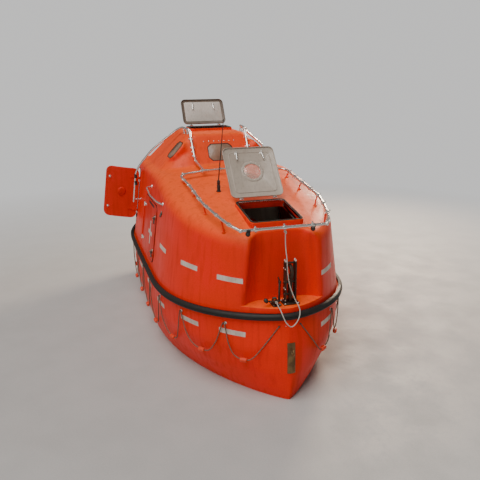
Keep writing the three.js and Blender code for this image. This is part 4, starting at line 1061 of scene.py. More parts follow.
def canopy_column(foot_x, foot_y, inset, grain):
    """Points up the wall, round the shoulder and over the deck to the spine."""
    spine_x = max(-SPINE, min(SPINE, foot_x))
    reach = hypot(spine_x - foot_x, foot_y)
    inward = ((spine_x - foot_x) / reach, -foot_y / reach)
    outboard = min(1.0, abs(foot_y) / 0.85)
    radius = 0.085 + (0.005 + 0.075 * smoothstep(foot_x, -0.4, 0.5)) * outboard - inset
    radius = max(0.03, radius)
    lean = SIDE_LEAN * smoothstep(abs(foot_y), 0.25, 0.95)
    tilt = atan(lean)
    foot = GUNWALE + sheer(foot_x, GUNWALE)
    top = deck_edge(foot_x) - inset
    wall_top = top - radius * (1 - sin(tilt))

    def at(distance, z):
        return Vector((foot_x + inward[0] * distance, foot_y + inward[1] * distance, z))

    column = [at(lean * (wall_top - foot) * t / grain, foot + (wall_top - foot) * t / grain)
              for t in range(grain + 1)]
    wall_in = lean * (wall_top - foot)
    for i in range(1, grain + 1):
        a = tilt + (pi / 2 - tilt) * i / grain
        point = at(wall_in + radius * (cos(tilt) - cos(a)), 0)
        slope = deck_edge(point.x) - deck_edge(foot_x)
        point.z = top + slope * i / grain - radius * (1 - sin(a))
        column.append(point)
    edge_in = wall_in + radius * cos(tilt)
    for i in range(1, grain + 1):
        share = i / grain
        point = at(edge_in + (reach - edge_in) * share, 0)
        point.z = deck_edge(point.x) - inset + CAMBER * (1 - (1 - share) ** 2)
        column.append(point)
    return column


def canopy_form(inset, foot_drop, grain=6, steps=30):
    feet = outline(TOP_LEVEL, CANOPY_INSET + inset, steps)
    columns = [canopy_column(x, y, inset, grain) for x, y in feet]
    rings = [[column[row] for column in columns] for row in range(len(columns[0]))]
    rings.insert(0, [p - UP * foot_drop for p in rings[0]])
    points, faces = strips(rings, ends=False)
    return points, faces + [tuple(range(len(feet) - 1, -1, -1))]


def house_form(inset):
    rings = []
    for z, fore, aft, half, radius in HOUSE:
        corners = rounded(aft + inset, inset - half, fore - inset, half - inset, radius)
        rings.append([Vector((x, y, z - inset)) for x, y in corners])
    return strips(rings)


def niche_plan(grow):
    side = [(NICHE_WALL + a - grow, NICHE_HALF + b + grow) for a, b in NICHE_FLARE]
    return list(reversed(side + [(x, -y) for x, y in reversed(side)]))


def niche_tool(grow, floor):
    """What is taken out of an end of the canopy: narrow inside, flared outwards, narrower above."""
    rings = []
    for z in (floor, 2.6):
        spread_out = NICHE_SPREAD - NICHE_TAPER * (z - NICHE_FLOOR)
        rings.append([Vector((x, y * spread_out, z)) for x, y in niche_plan(grow)])
    return strips(rings)


def canopy_body(name, inset, foot_drop, grain=6, steps=30, floor=None):
    floor = NICHE_FLOOR - inset if floor is None else floor
    body = closed(name, canopy_form(inset, foot_drop, grain, steps))
    combined(body, house_form(inset), "UNION")
    for row in WINDOWS.values():
        seat = window_prism(row, inset - SEAT_MARGIN, -SEAT_DEPTH, -inset)
        combined(body, seat, "UNION")
    for matrix in (Matrix.Identity(4), FORE_AFT):
        combined(body, moved(niche_tool(inset, floor), matrix), "DIFFERENCE")
    return body


print("canopy form columns", len(canopy_form(0.0, 0.16)[0]) // 20)

# %% [markdown]
# ## Fairing the mould
# On the real mould the inner corners are filled and the outer ones rubbed down. Here a voxel remesh makes
# even small faces, and a smooth modifier relaxes them. A bevel would need clean edges, and the cuts meet in
# too many odd corners. A vertex group has the sides of the niches relaxed more than the rest.

# %% Fairing
VOXEL = 0.016
FAIRING = 17
NICHE_FAIRING = 76


def relaxed(obj, times, group=""):
    relax = obj.modifiers.new("relax", "SMOOTH")
    relax.factor = 0.5
    relax.iterations = times
    relax.vertex_group = group
    return settled(obj)


def faired(obj):
    """Even small faces all over, then relaxed, so that inner and outer corners become soft radii."""
    remesh = obj.modifiers.new("remesh", "REMESH")
    remesh.mode = "VOXEL"
    remesh.voxel_size = VOXEL
    settled(obj)
    relaxed(obj, FAIRING)
    group = obj.vertex_groups.new(name="niche sides")
    for vertex in obj.data.vertices:
        x, y, z = vertex.co
        sides = smoothstep(abs(x), 1.98, 2.14) * smoothstep(abs(y), 0.16, 0.30)
        weight = sides * (1 - smoothstep(z, 1.56, 1.72))
        if weight > 0:
            group.add([vertex.index], weight, "REPLACE")
    relaxed(obj, NICHE_FAIRING, group.name)
    obj.vertex_groups.clear()
    return obj


def ledge(matrix):
    """The flat platform at the foot of a niche, which runs out to the fender."""
    form = closed("ledge", canopy_form(0.003, 0.14, 5, 40))
    corners = [(x, y * NICHE_SPREAD) for x, y in niche_plan(0.05)]
    combined(form, moved(prism(corners, 0.7, NICHE_FLOOR), matrix), "INTERSECT")
    return bevelled(form, 0.008, 3)


def below_joint():
    """Everything under the joint with the hull, used to trim the canopy's foot."""
    rings = []
    for z, lift in ((0.4, 0.0), (GUNWALE, 0.0008)):
        rings.append([Vector((x, y, z + lift + sheer(x, z))) for x, y in outline(TOP_LEVEL, -0.08)])
    points, faces = strips(rings, ends=False)
    count = len(rings[0])
    for start, flip in ((0, True), (count, False)):
        for i in range(count // 2):
            quad = (start + i, start + i + 1, start + (count - i - 1) % count, start + (count - i) % count)
            quad = tuple(dict.fromkeys(quad))
            faces.append(tuple(reversed(quad)) if flip else quad)
    return points, faces


outer_form = faired(canopy_body("canopy_form", 0.0, 0.16, 8, 40, floor=0.6))
for matrix in (Matrix.Identity(4), FORE_AFT):
    combined(outer_form, ledge(matrix), "UNION")
combined(outer_form, below_joint(), "DIFFERENCE")
print("faired canopy faces", len(outer_form.data.polygons))

# %% [markdown]
# ## Doors, windows and hatches cut from the form
# Each opening is a solid tool that is taken out of the moulding. A door gets a shallow seat round it, so the
# panel lies in the wall on a lip. The panels themselves are cut from the same faired form, so they follow
# its curve exactly.

# %% Cutting tools
DOOR_GAP = 0.010
DOOR_PROUD = 0.010
DOOR_THICK = 0.024
SEAT = DOOR_THICK + DOOR_GAP
LIP = 0.022
DOORS = {
    # aft edge, fore edge, sill, head, corner radius, hinged edge
    "fore": (-0.400, 0.500, 0.925, 1.635, 0.090, "aft"),
    "aft": (-1.610, -1.140, 1.120, 1.850, 0.080, "fore"),
}


def door_prism(door, grow):
    aft, fore, sill, head, radius, _ = door
    outline_xz = rounded(aft - grow, sill - grow, fore + grow, head + grow, radius + grow)
    return moved(prism(outline_xz, 0.6, 1.3), ON_EDGE)


print("doors", list(DOORS))

# %% [markdown]
# ## Hatch frames
# Both hatches are described in a frame of their own: x runs forward from the hinge side, z out of the deck.
# Two matrices set them on the sloping foredeck and on the roof, and a third swings the open lids.

# %% Hatch frames
FORE_HATCH = {"fore": 2.135, "aft": 1.575, "half": 0.264, "coaming": 0.022, "open": 138}
TOP_HATCH = {"fore": -0.520, "aft": -0.840, "half": 0.276, "coaming": 0.036, "open": 122}
RIM = 0.026
LID = {"plate": 0.009, "skirt": 0.014, "wall": 0.007, "over": 0.013, "lift": 0.008, "round": 0.062,
       "hinge": 0.014}
ON_DECK = shift((FORE_HATCH["aft"], 0, deck_edge(FORE_HATCH["aft"]) + 0.9 * CAMBER)) \
    @ Matrix.Rotation(atan(DECK_SLOPE), 4, "Y")
ON_ROOF = shift((TOP_HATCH["aft"], 0, HOUSE_TOP[0] + 0.014))
HATCHES = {"fore": (FORE_HATCH, ON_DECK), "top": (TOP_HATCH, ON_ROOF)}


def hatch_ring(hatch, margin, radius, z):
    """A level ring round a hatch, so far outside its opening."""
    span, half = hatch["fore"] - hatch["aft"], hatch["half"] + margin
    return [Vector((x, y, z)) for x, y in rounded(-margin, -half, span + margin, half, radius, 8)]


def hatch_slab(hatch, margin, radius, low, high):
    return strips([hatch_ring(hatch, margin, radius, z) for z in (low, high)])


def lid_base(hatch):
    return hatch["coaming"] + LID["lift"]


def lid_hinge(hatch):
    return Vector((-RIM - LID["over"] - LID["hinge"], 0, lid_base(hatch) + 0.004))


def hinge_places(hatch):
    return (hatch["half"] - 0.07, 0.07 - hatch["half"])


def swung(hatch):
    pin = lid_hinge(hatch)
    turn = Matrix.Rotation(-radians(hatch["open"]), 4, "Y")
    return shift(pin) @ turn @ shift(-pin)


print("fore lid opens", FORE_HATCH["open"], "degrees")

# %% [markdown]
# ## The canopy skin
# The cabin's inside is taken out of a copy of the faired form, then the openings are cut. Cutting closed
# solids from closed solids keeps the moulding one watertight skin with a real wall thickness in every
# opening.

# %% Canopy skin
CANOPY_WALL = 0.036
HOLE_CORNER = 0.040


def copied(obj, name, matrix=None):
    twin = bpy.data.objects.new(name, obj.data.copy())
    if matrix is not None:
        twin.data.transform(matrix)
        if matrix.determinant() < 0:
            twin.data.flip_normals()
    bpy.context.scene.collection.objects.link(twin)
    return twin


def door_cut(door):
    """The seat round a door and the hole through the wall, on the starboard side."""
    seat = closed("seat", door_prism(door, DOOR_GAP))
    combined(seat, copied(seat_form, "seat_form_copy"), "DIFFERENCE")
    return combined(seat, door_prism(door, -LIP), "UNION")


seat_form = canopy_body("seat_form", SEAT, 0.1, 5, 24)
canopy = copied(outer_form, "canopy_skin")
combined(canopy, canopy_body("inner_form", CANOPY_WALL + 0.006, 0.1, 4, 20), "DIFFERENCE")
for door in DOORS.values():
    cut = door_cut(door)
    combined(canopy, copied(cut, "port_cut", MIRROR), "DIFFERENCE")
    combined(canopy, cut, "DIFFERENCE")
for row in WINDOWS.values():
    combined(canopy, window_prism(row, 0.0, -0.010, 0.08), "DIFFERENCE")
    combined(canopy, window_prism(row, WINDOW_LEDGE, -0.2, 0.08), "DIFFERENCE")
for hatch, place in HATCHES.values():
    hole = moved(hatch_slab(hatch, 0.0, HOLE_CORNER, -0.3, 0.2), place)
    combined(canopy, hole, "DIFFERENCE")
dressed(canopy, ORANGE, angle=38)
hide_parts("canopy")
print("canopy faces", len(canopy.data.polygons))

# %% [markdown]
# Gelcoat is only on the outside of a moulding. Inside, the bare laminate is a dull buff, so every face that
# looks towards the middle of the cabin gets a second material.

# %% Inside of the canopy
CABIN_HEIGHT = 1.250  # the height of the cabin's middle


def faces_cabin(face):
    x, y, z = face.center
    inward = Vector((max(-1.3, min(1.3, x)) * 0.8 - x, -y, CABIN_HEIGHT - z))
    return face.normal.z < 0.5 and face.normal.dot(inward) > 0.12 * inward.length


canopy.data.materials.append(INSIDE)
for face in canopy.data.polygons:
    face.material_index = int(faces_cabin(face))
print("faces inside", sum(face.material_index for face in canopy.data.polygons))

# %% [markdown]
# ## Side doors
# A door of a closed lifeboat is a thick panel on two strap hinges. The pin stands clear of the wall, so that
# the panel can swing right back. Knuckles and straps turn with the door, and the lugs under them stay on the
# boat. Every part is placed from `wall_point`, because the wall leans in.

# %% Door hinges
HINGE_SPOTS = (0.08, 0.86)
PIN_OUT = 0.016


def wall_point(x, z, out=0.0):
    """A point of the starboard side wall, or off it by so much."""
    half = half_at(TOP_LEVEL, x, CANOPY_INSET)
    foot = GUNWALE + sheer(x, GUNWALE)
    return Vector((x, -(half - SIDE_LEAN * (z - foot) + out), z))


def hinge_line(door):
    aft, fore, sill, head, _, hinged = door
    x = aft if hinged == "aft" else fore
    return wall_point(x, sill + 0.06, PIN_OUT), wall_point(x, head - 0.06, PIN_OUT)


def bolt(spot, out=Vector((0, -1, 0)), radius=0.0075):
    """A washer with a domed head."""
    washer = rod(spot, spot + out * 0.0015, radius * 1.4, sides=16)
    head = moved(turned([(radius, 0), (radius, 0.002), (radius * 0.7, 0.0045), (0, 0.0055)], 16),
                 along(spot + out * 0.0015, spot + out))
    return merged(washer, head)


def hinge_halves(door):
    """The knuckles and straps on the door, the lugs under them on the boat, and the long knuckle between."""
    low, high = hinge_line(door)
    inward = 1 if door[5] == "aft" else -1
    on_door, on_boat = [], []
    knuckle = rod(low.lerp(high, 0.15), low.lerp(high, 0.8), 0.0092)
    for share in HINGE_SPOTS:
        start, end = low.lerp(high, share), low.lerp(high, share + 0.06)
        middle = (start + end) / 2
        seat = wall_point(middle.x + inward * 0.07, middle.z, DOOR_PROUD + 0.002)
        far = wall_point(middle.x + inward * 0.13, middle.z, DOOR_PROUD + 0.002)
        on_door += [rod(start, end, 0.011), strap(middle, seat, 0.008, 0.034)]
        on_door.append(strap(seat, far, 0.006, 0.034))
        for reach in (0.08, 0.115):
            on_door.append(bolt(wall_point(middle.x + inward * reach, middle.z, DOOR_PROUD + 0.004)))
        lug_z = start.z - 0.0148
        foot = wall_point(start.x - inward * 0.046, lug_z, -0.006)
        tip = (start.x + inward * 0.009, start.y, lug_z)
        on_boat.append(strap(tip, (foot.x, foot.y, lug_z), 0.016, 0.026))
        on_boat.append(rod(start - UP * 0.028, start - UP * 0.001, 0.0095))
    return merged(*on_door), merged(*on_boat), knuckle


print("hinge points", len(hinge_halves(DOORS["fore"])[0][0]))

# %% [markdown]
# A dog is a latch that turns and presses the door on its rubber. The fore doors have handles outside, grey
# cast ones, and the aft doors are worked from inside, so only the ends of their spindles show. A shallow
# boss is pressed into the middle of the aft doors to stiffen them.

# %% Door latches
DOG_SPOTS = (0.2, 0.8)
DOG_INSET = 0.052


def door_dog(x, z, inward):
    """Plate, spindle and handle of a latch that turns to press the door shut."""
    foot = wall_point(x, z, 0.0005)
    tip = wall_point(x, z, 0.034)
    plate = rod(foot, wall_point(x, z, DOOR_PROUD + 0.010), 0.034, 0.030, 28)
    spindle = rod(wall_point(x, z, -0.036), tip, 0.012)
    grip_end = Vector((x - inward * 0.012, tip.y + 0.002, z - 0.062))
    elbow = tip + Vector((-inward * 0.004, 0.004, -0.02))
    arm = tube(bent_line([tip + Vector((0, 0.008, 0)), elbow, grip_end], 0.02), 0.0085)
    return merged(plate, spindle, arm, ball(grip_end, 0.0115, 16), ball(tip, 0.0135, 16))


def dog_end(x, z):
    """The outer end of a latch that is worked from inside only."""
    plate = rod(wall_point(x, z, 0.002), wall_point(x, z, DOOR_PROUD + 0.004), 0.020, 0.017, 24)
    lever = strap(wall_point(x, z, -0.030), wall_point(x + 0.012, z - 0.07, -0.030), 0.010, 0.020)
    return merged(plate, rod(wall_point(x, z, -0.036), wall_point(x, z, 0.022), 0.009), lever,
                  ball(wall_point(x, z, 0.022), 0.0105, 16))


def boss(door):
    x = (door[0] + door[1]) / 2
    z = (door[2] + door[3]) / 2 + 0.02
    profile = [(0.064, 0.0), (0.062, 0.010), (0.056, 0.018), (0.044, 0.023), (0.020, 0.024), (0, 0.0242)]
    return moved(turned(profile, 40), along(wall_point(x, z, DOOR_PROUD - 0.001), wall_point(x, z, 0.05)))


def latches(label, door):
    inward, free = (-1, door[1]) if door[5] == "aft" else (1, door[0])
    x = free + inward * DOG_INSET
    heights = [door[2] + (door[3] - door[2]) * share for share in DOG_SPOTS]
    return merged(*[door_dog(x, z, inward) if label == "fore" else dog_end(x, z) for z in heights])


print("latches of a door", len(DOG_SPOTS))

# %% [markdown]
# The panel is a slice of the faired form, a little proud of the wall. All pieces are built on the starboard
# side, closed, and mirrored for port. The aft starboard door stands open, so its pieces are swung round its
# hinge line before they are handed to their body.

# %% Doors
DOOR_OPEN = 90


def door_panel(door):
    panel = closed("panel", door_prism(door, 0.0))
    outward = shift((0, -DOOR_PROUD, 0))
    combined(panel, copied(outer_form, "outer_copy", outward), "INTERSECT")
    combined(panel, copied(back_form, "back_copy"), "DIFFERENCE")
    return bevelled(panel, 0.003)


def door_seal(door):
    """A soft black lip in the gap round a door, which stands a little proud of the wall."""
    strip = closed("seal", door_prism(door, DOOR_GAP - 0.0004))
    combined(strip, door_prism(door, 0.003), "DIFFERENCE")
    outward = shift((0, -DOOR_PROUD * 0.6, 0))
    combined(strip, copied(outer_form, "seal_out", outward), "INTERSECT")
    return combined(strip, copied(seat_form, "seal_in"), "DIFFERENCE")


back_form = canopy_body("back_form", DOOR_THICK, 0.1, 5, 24)
for label, door in DOORS.items():
    low, high = hinge_line(door)
    turn = Matrix.Rotation(radians(DOOR_OPEN), 4, high - low)
    opened = shift(low) @ turn @ shift(-low)
    dog_metal, strap_metal = (GREY_STEEL, STAINLESS) if label == "fore" else (STAINLESS, DOOR_ORANGE)
    on_door, on_boat, knuckle = hinge_halves(door)
    panel, seal = door_panel(door), door_seal(door)
    for side, mirror in SIDES.items():
        body = f"door_{label}_{side}"
        place = opened if (label, side) == ("aft", "starboard") else mirror
        skin = dressed(copied(panel, body + "_skin", place), DOOR_ORANGE, body, 30)
        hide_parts(body)
        piece(body + "_hinges", moved(on_door, place), strap_metal, body, bevel=0.0012)
        piece(body + "_dogs", moved(latches(label, door), place), dog_metal, body, angle=40)
        piece(body + "_knuckle", moved(knuckle, place), DOOR_ORANGE, body)
        if label == "aft":
            piece(body + "_boss", moved(boss(door), place), DOOR_ORANGE, body)
        piece(body + "_hinge_lugs", moved(on_boat, mirror), STAINLESS, bevel=0.0015)
        dressed(copied(seal, body + "_seal", mirror), RUBBER)
    for pattern in (panel, seal):
        bpy.data.objects.remove(pattern)
print("doors", [label for label in DOORS])

# %% [markdown]
# ## Windows
# The panes are thick smoked plastic with chamfered corners, let into the moulding on a ledge and held by a
# black rubber gasket that stands a little proud.

# %% Windows
BOLT_ROW = 0.165  # how far over the middle of the front window a row of bolt heads runs


def ring_prism(row, outside, inside, low, high):
    """A frame between two outlines of a window, as one closed band."""
    matrix = window_matrix(row[0], row[1])
    outer = window_outline(row, outside)
    inner = window_outline(row, inside)
    loops = [(outer, low), (outer, high), (inner, high), (inner, low)]
    rings = [[Vector((x, y, z)) for x, y in corners] for corners, z in loops]
    return moved(strips(rings, closed=True), matrix)


for name, row in WINDOWS.items():
    pane = piece(name + "_pane", window_prism(row, 0.001, -0.0096, -0.0016), WINDOW, bevel=0.0012)
    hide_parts(name)
    piece(name + "_gasket", ring_prism(row, -0.003, 0.006, -0.0012, 0.0016), RUBBER, bevel=0.0006)
front = window_matrix(*WINDOWS["window_front"][:2])
heads = [bolt(Vector((x, BOLT_ROW, 0.0)), UP, 0.006) for x in (-0.21, -0.14, -0.07, 0.0, 0.07, 0.14, 0.21)]
piece("window_front_bolts", moved(merged(*heads), front), STAINLESS)
print("window pieces", 2 * len(WINDOWS))

# %% [markdown]
# ## Hatches
# A coaming stands round each hatch to keep the wet deck out of it. A rubber ring lies on it, and a bright
# metal strip guards its inner edge. Both lids stand open and show their inner sides, with the latches on the
# free edge.

# %% Hatch coamings
def slab_ring(hatch, outside, inside, radii, low, high):
    outer = [hatch_ring(hatch, outside, radii[0], z) for z in (low, high)]
    inner = [hatch_ring(hatch, inside, radii[1], z) for z in (high, low)]
    return strips(outer + inner, closed=True)


def coaming_lugs(hatch):
    pin = lid_hinge(hatch)
    lugs = []
    for y in hinge_places(hatch):
        for off in (-0.0184, 0.0184):
            lugs.append(block((0.022, 0.010, pin.z + 0.06), (pin.x, y + off, pin.z / 2 - 0.024)))
        lugs.append(rod((pin.x, y - 0.026, pin.z), (pin.x, y + 0.026, pin.z), 0.005))
    return merged(*lugs)


for label, (hatch, place) in HATCHES.items():
    rim = slab_ring(hatch, RIM, 0.0, (0.056, 0.040), -0.06, hatch["coaming"])
    piece(label + "_hatch_coaming", moved(rim, place), ORANGE, bevel=0.004)
    piece(label + "_hatch_lugs", moved(coaming_lugs(hatch), place), STAINLESS, bevel=0.0015)
    low = hatch["coaming"] + 0.0004
    strip = slab_ring(hatch, RIM - 0.006, 0.004, (0.052, 0.043), low, low + 0.0064)
    seal = piece(label + "_hatch_rubber", moved(strip, place), RUBBER, bevel=0.0022)
    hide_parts(label + "_hatch_seal")
    guard = slab_ring(hatch, 0.003, 0.0, (0.042, 0.040), low - 0.03, low + 0.0018)
    piece(label + "_hatch_guard", moved(guard, place), STAINLESS, bevel=0.0006)
print("coamings", list(HATCHES))

# %% [markdown]
# The lids are thin trays turned upside down. The fore lid is grey all through, with a pressed border and a
# round clear port let into it. The roof lid has a paler panel in a darker frame. A ring of screws holds the
# port.

# %% Lid parts
PORT_X, PORT_RADIUS, PORT_LEDGE = 0.285, 0.108, 0.098


def tray(hatch):
    """The lid's plate and skirt as one closed tray, open side down."""
    base = lid_base(hatch)
    margin = RIM + LID["over"]
    corner, wall, plate = LID["round"], LID["wall"], base + LID["plate"]
    top = [hatch_ring(hatch, margin, corner, z) for z in (base - LID["skirt"], plate - 0.004)]
    top.append(hatch_ring(hatch, margin - 0.004, corner - 0.004, plate))
    under = [hatch_ring(hatch, margin - wall, corner - wall, z) for z in (base, base - LID["skirt"])]
    count = len(top[0])
    points, faces = merged(strips(top, ends=False), strips(under, ends=False))
    last_top, first_under = (len(top) - 1) * count, len(top) * count
    faces.append(tuple(range(last_top, last_top + count)))
    faces.append(tuple(range(first_under + count - 1, first_under - 1, -1)))
    foot_under = first_under + count
    for i in range(count):
        k = (i + 1) % count
        faces.append((foot_under + i, foot_under + k, k, i))
    return points, faces


def lid_dog(hatch, side):
    """The latch goes through the lid: a handle outside and a longer one inside."""
    base = lid_base(hatch)
    x, y = hatch["fore"] - hatch["aft"] - 0.034, side * 0.150
    spindle = rod((x, y, base - 0.026), (x, y, base + 0.031), 0.010)
    washers = [rod((x, y, base - 0.003), (x, y, base - 0.0005), 0.022, sides=24),
               rod((x, y, base + 0.0095), (x, y, base + 0.0125), 0.022, sides=24)]
    grip = Vector((x - 0.092, y + side * 0.008, base - 0.027))
    under = bent_line([(x, y, base - 0.022), (x - 0.03, y + side * 0.002, base - 0.022), grip], 0.02)
    inside = tube(under, 0.0075)
    over = bent_line([(x, y, base + 0.028), (x - 0.02, y, base + 0.027), (x - 0.07, y, base + 0.027)], 0.02)
    outside = tube(over, 0.006)
    ends = [ball(grip, 0.0088, 14), ball((x, y, base - 0.025), 0.0115, 14)]
    return merged(spindle, inside, outside, *washers, *ends)


def lid_hinges(hatch):
    pin = lid_hinge(hatch)
    base = lid_base(hatch)
    parts = []
    for y in hinge_places(hatch):
        parts.append(rod((pin.x, y - 0.013, pin.z), (pin.x, y + 0.013, pin.z), 0.009))
        parts.append(block((0.036, 0.022, 0.008), (pin.x + 0.018, y, base + 0.010)))
        parts.append(block((0.08, 0.03, 0.003), (pin.x + 0.075, y, base + LID["plate"] + 0.0018)))
        spots = [Vector((pin.x + d, y, base + LID["plate"] + 0.0033)) for d in (0.05, 0.095)]
        parts += [bolt(p, UP, 0.005) for p in spots]
    return merged(*parts)


def disc(radius, low, high, hole=0.0, sides=64):
    """A round slab in the lid's port, or a ring if it has a hole."""
    rings = [circle(radius, sides, low), circle(radius, sides, high)]
    if hole:
        rings += [circle(hole, sides, high), circle(hole, sides, low)]
    return moved(strips(rings, closed=bool(hole)), shift((PORT_X, 0, 0)))


def screw_ring(radius, count, z, out):
    spots = [p + Vector((PORT_X, 0, z)) for p in circle(radius, count)]
    return merged(*[bolt(p, out, 0.0038) for p in spots])


print("a lid tray has", len(tray(FORE_HATCH)[1]), "faces")

# %% [markdown]
# Each lid is built closed over its coaming and then swung open by `swung`, which turns it about the real
# hinge pin. The panel and the pressed border lie under the plate, where they show while the lid stands open.

# %% Hatch lids
for label, (hatch, deck) in HATCHES.items():
    place = deck @ swung(hatch)
    body = label + "_hatch"
    base = lid_base(hatch)
    skin = COVER if label == "fore" else FRAME_BROWN
    lid = closed(body + "_lid", tray(hatch))
    if label == "fore":
        combined(lid, disc(PORT_LEDGE, base - 0.05, base + 0.05), "DIFFERENCE")
    bevelled(lid, 0.0015)
    lid.data.transform(place)
    dressed(lid, skin, body)
    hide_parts(body + "_cover")
    dogs_pair = merged(lid_dog(hatch, 1), lid_dog(hatch, -1))
    piece(body + "_dogs", moved(dogs_pair, place), STAINLESS, body, angle=40)
    piece(body + "_hinges", moved(lid_hinges(hatch), place), STAINLESS, body, bevel=0.001)
    if label == "fore":
        ridge = slab_ring(hatch, -0.020, -0.031, (0.045, 0.036), base - 0.004, base - 0.0003)
        piece(body + "_pressed_border", moved(ridge, place), COVER, body, bevel=0.0016)
        collar = merged(disc(PORT_RADIUS + 0.020, base - 0.005, base - 0.0004, PORT_LEDGE),
                        disc(PORT_RADIUS + 0.016, base + 0.0094, base + 0.0148, PORT_RADIUS + 0.001))
        piece(body + "_port_rings", moved(collar, place), COVER, body, bevel=0.0014)
        port = disc(PORT_RADIUS - 0.0004, base + 0.0024, base + 0.012)
        pane = piece(body + "_port_pane", moved(port, place), CLEAR, body, bevel=0.001)
        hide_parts("fore_hatch_pane")
        screws = screw_ring(PORT_RADIUS + 0.006, 12, base - 0.005, -UP)
        piece(body + "_port_screws", moved(screws, place), STAINLESS, body)
    else:
        panel = hatch_slab(hatch, -0.004, 0.022, base - 0.004, base - 0.0004)
        piece(body + "_inner_panel", moved(panel, place), PANEL, body, bevel=0.0016)
print("lids", [label for label in HATCHES])

# %% [markdown]
# ## Fender
# A thick black rubber section runs all round the gunwale and covers the joint of hull and canopy. A shallow
# groove runs along its middle, where the screws of the real thing are sunk out of harm's way.

# %% Fender
FENDER = [
    # out from the gunwale, up from it
    (0.001, -0.035), (0.018, -0.0345), (0.028, -0.032), (0.036, -0.026), (0.041, -0.019),
    (0.0438, -0.012), (0.0448, -0.0062), (0.0405, -0.0044),
]
FENDER += [(out, -up) for out, up in reversed(FENDER)]


def gunwale_frames(steps=60):
    """Points of the gunwale with the level direction square to it."""
    ring = [Vector((x, y, GUNWALE + sheer(x, GUNWALE))) for x, y in outline(TOP_LEVEL, 0.0, steps, 14)]
    frames = []
    for i, point in enumerate(ring):
        run = ring[(i + 1) % len(ring)] - ring[i - 1]
        frames.append((point, Vector((run.y, -run.x, 0)).normalized()))
    return frames


def swept_round(section):
    rings = [[point + out * a + UP * b for a, b in section] for point, out in gunwale_frames()]
    return strips(rings, closed=True)


fender = piece("fender_rubber", swept_round(FENDER), RUBBER, angle=28)
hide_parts("fender")
print("fender faces", len(fender.data.polygons))

# %% [markdown]
# ## Spray pipes
# Bright tube runs round the deck and over the wheelhouse. In a fire it wets the whole boat, so it carries a
# small nozzle on a clamp every few hands' breadths. A function walks along the pipe's line and sets a
# fitting at even spacing, square to the run. Rays find how high the deck is under each foot.

# %% Spray pipe fittings
PIPE_RADIUS = 0.015
FOOT_RADIUS = 0.009
PIPE_BEND = 0.120
DECK_PIPE = [(2.330, 0.450, 1.768), (2.215, 0.528, 1.802), (2.000, 0.590, 1.848), (1.640, 0.662, 1.912),
             (1.050, 0.662, 1.985), (0.585, 0.690, 2.036)]
DECK_FEET = [(2.060, 0.572), (1.640, 0.655), (1.150, 0.662), (0.700, 0.680)]
TEE = (0.585, 0.378, 2.070)  # where a house pipe leaves the deck pipe


def hit(target, start, direction):
    """Where a ray meets a piece, and the surface's direction there."""
    found, spot, normal, _ = target.ray_cast(Vector(start), Vector(direction).normalized())
    return (spot, normal) if found else (None, None)


def deck_height(x, y):
    spot, _ = hit(canopy, (x, y, 3.0), (0, 0, -1))
    return spot.z


def flipped(point):
    return Vector((point[0], -point[1], point[2]))


def pipe_height(x):
    for (x0, _, z0), (x1, _, z1) in zip(DECK_PIPE, DECK_PIPE[1:]):
        if x1 <= x <= x0:
            return z0 + (z1 - z0) * (x - x0) / (x1 - x0)
    return DECK_PIPE[-1][2]


CLAMP = [(-0.014, 0.014, 0.0215), (-0.020, -0.014, 0.0182), (0.014, 0.020, 0.0182)]
NOZZLE_AND_SCREW = [
    # from, to, radius, end radius, sides
    (0.016, 0.030, 0.0085, 0.0085, 12), (0.030, 0.037, 0.0115, 0.007, 12),
    (-0.027, -0.016, 0.0045, 0.0045, 10), (-0.029, -0.026, 0.0075, 0.0075, 6),
]


def spray_fitting(point, run, out):
    """A clamp round the tube with a nozzle to one side and its screw to the other."""
    parts = [rod(point + run * a, point + run * b, radius) for a, b, radius in CLAMP]
    parts += [rod(point + out * a, point + out * b, *rest) for a, b, *rest in NOZZLE_AND_SCREW]
    return merged(*parts)


def fittings_along(line, spacing, start, lift=0.6):
    """Spray fittings at even spacing, pointing outboard and up."""
    made = []
    travelled, due = 0.0, start
    for a, b in zip(line, line[1:]):
        length = (b - a).length
        while travelled + length >= due:
            point = a.lerp(b, (due - travelled) / length)
            run = (b - a).normalized()
            level = Vector((-run.y, run.x, 0)).normalized()
            if level.y * point.y < 0:
                level = -level
            out = (level + UP * lift).normalized()
            out = (out - run * out.dot(run)).normalized()
            made.append(spray_fitting(point, run, out))
            due += spacing
        travelled += length
    return made


def deck_foot(x, y, side):
    top = Vector((x, side * y, pipe_height(x)))
    base_y = side * (y - 0.03)
    base = Vector((x, base_y, deck_height(x, base_y)))
    plate = rod(base - UP * 0.002, base + UP * 0.004, 0.026, sides=24)
    return merged(rod(base, top, FOOT_RADIUS), plate)


print("deck under the tee", round(deck_height(TEE[0], TEE[1]), 3))

# %% [markdown]
# The deck pipe is one closed loop with rounded corners, so its corner points are listed for one side and
# flipped for the other. Its run over the bow is a rail that rests on two black rubber balls.

# %% Deck pipe
RAIL_RUBBERS = [Vector((2.324, y, 1.728)) for y in (0.305, -0.375)]

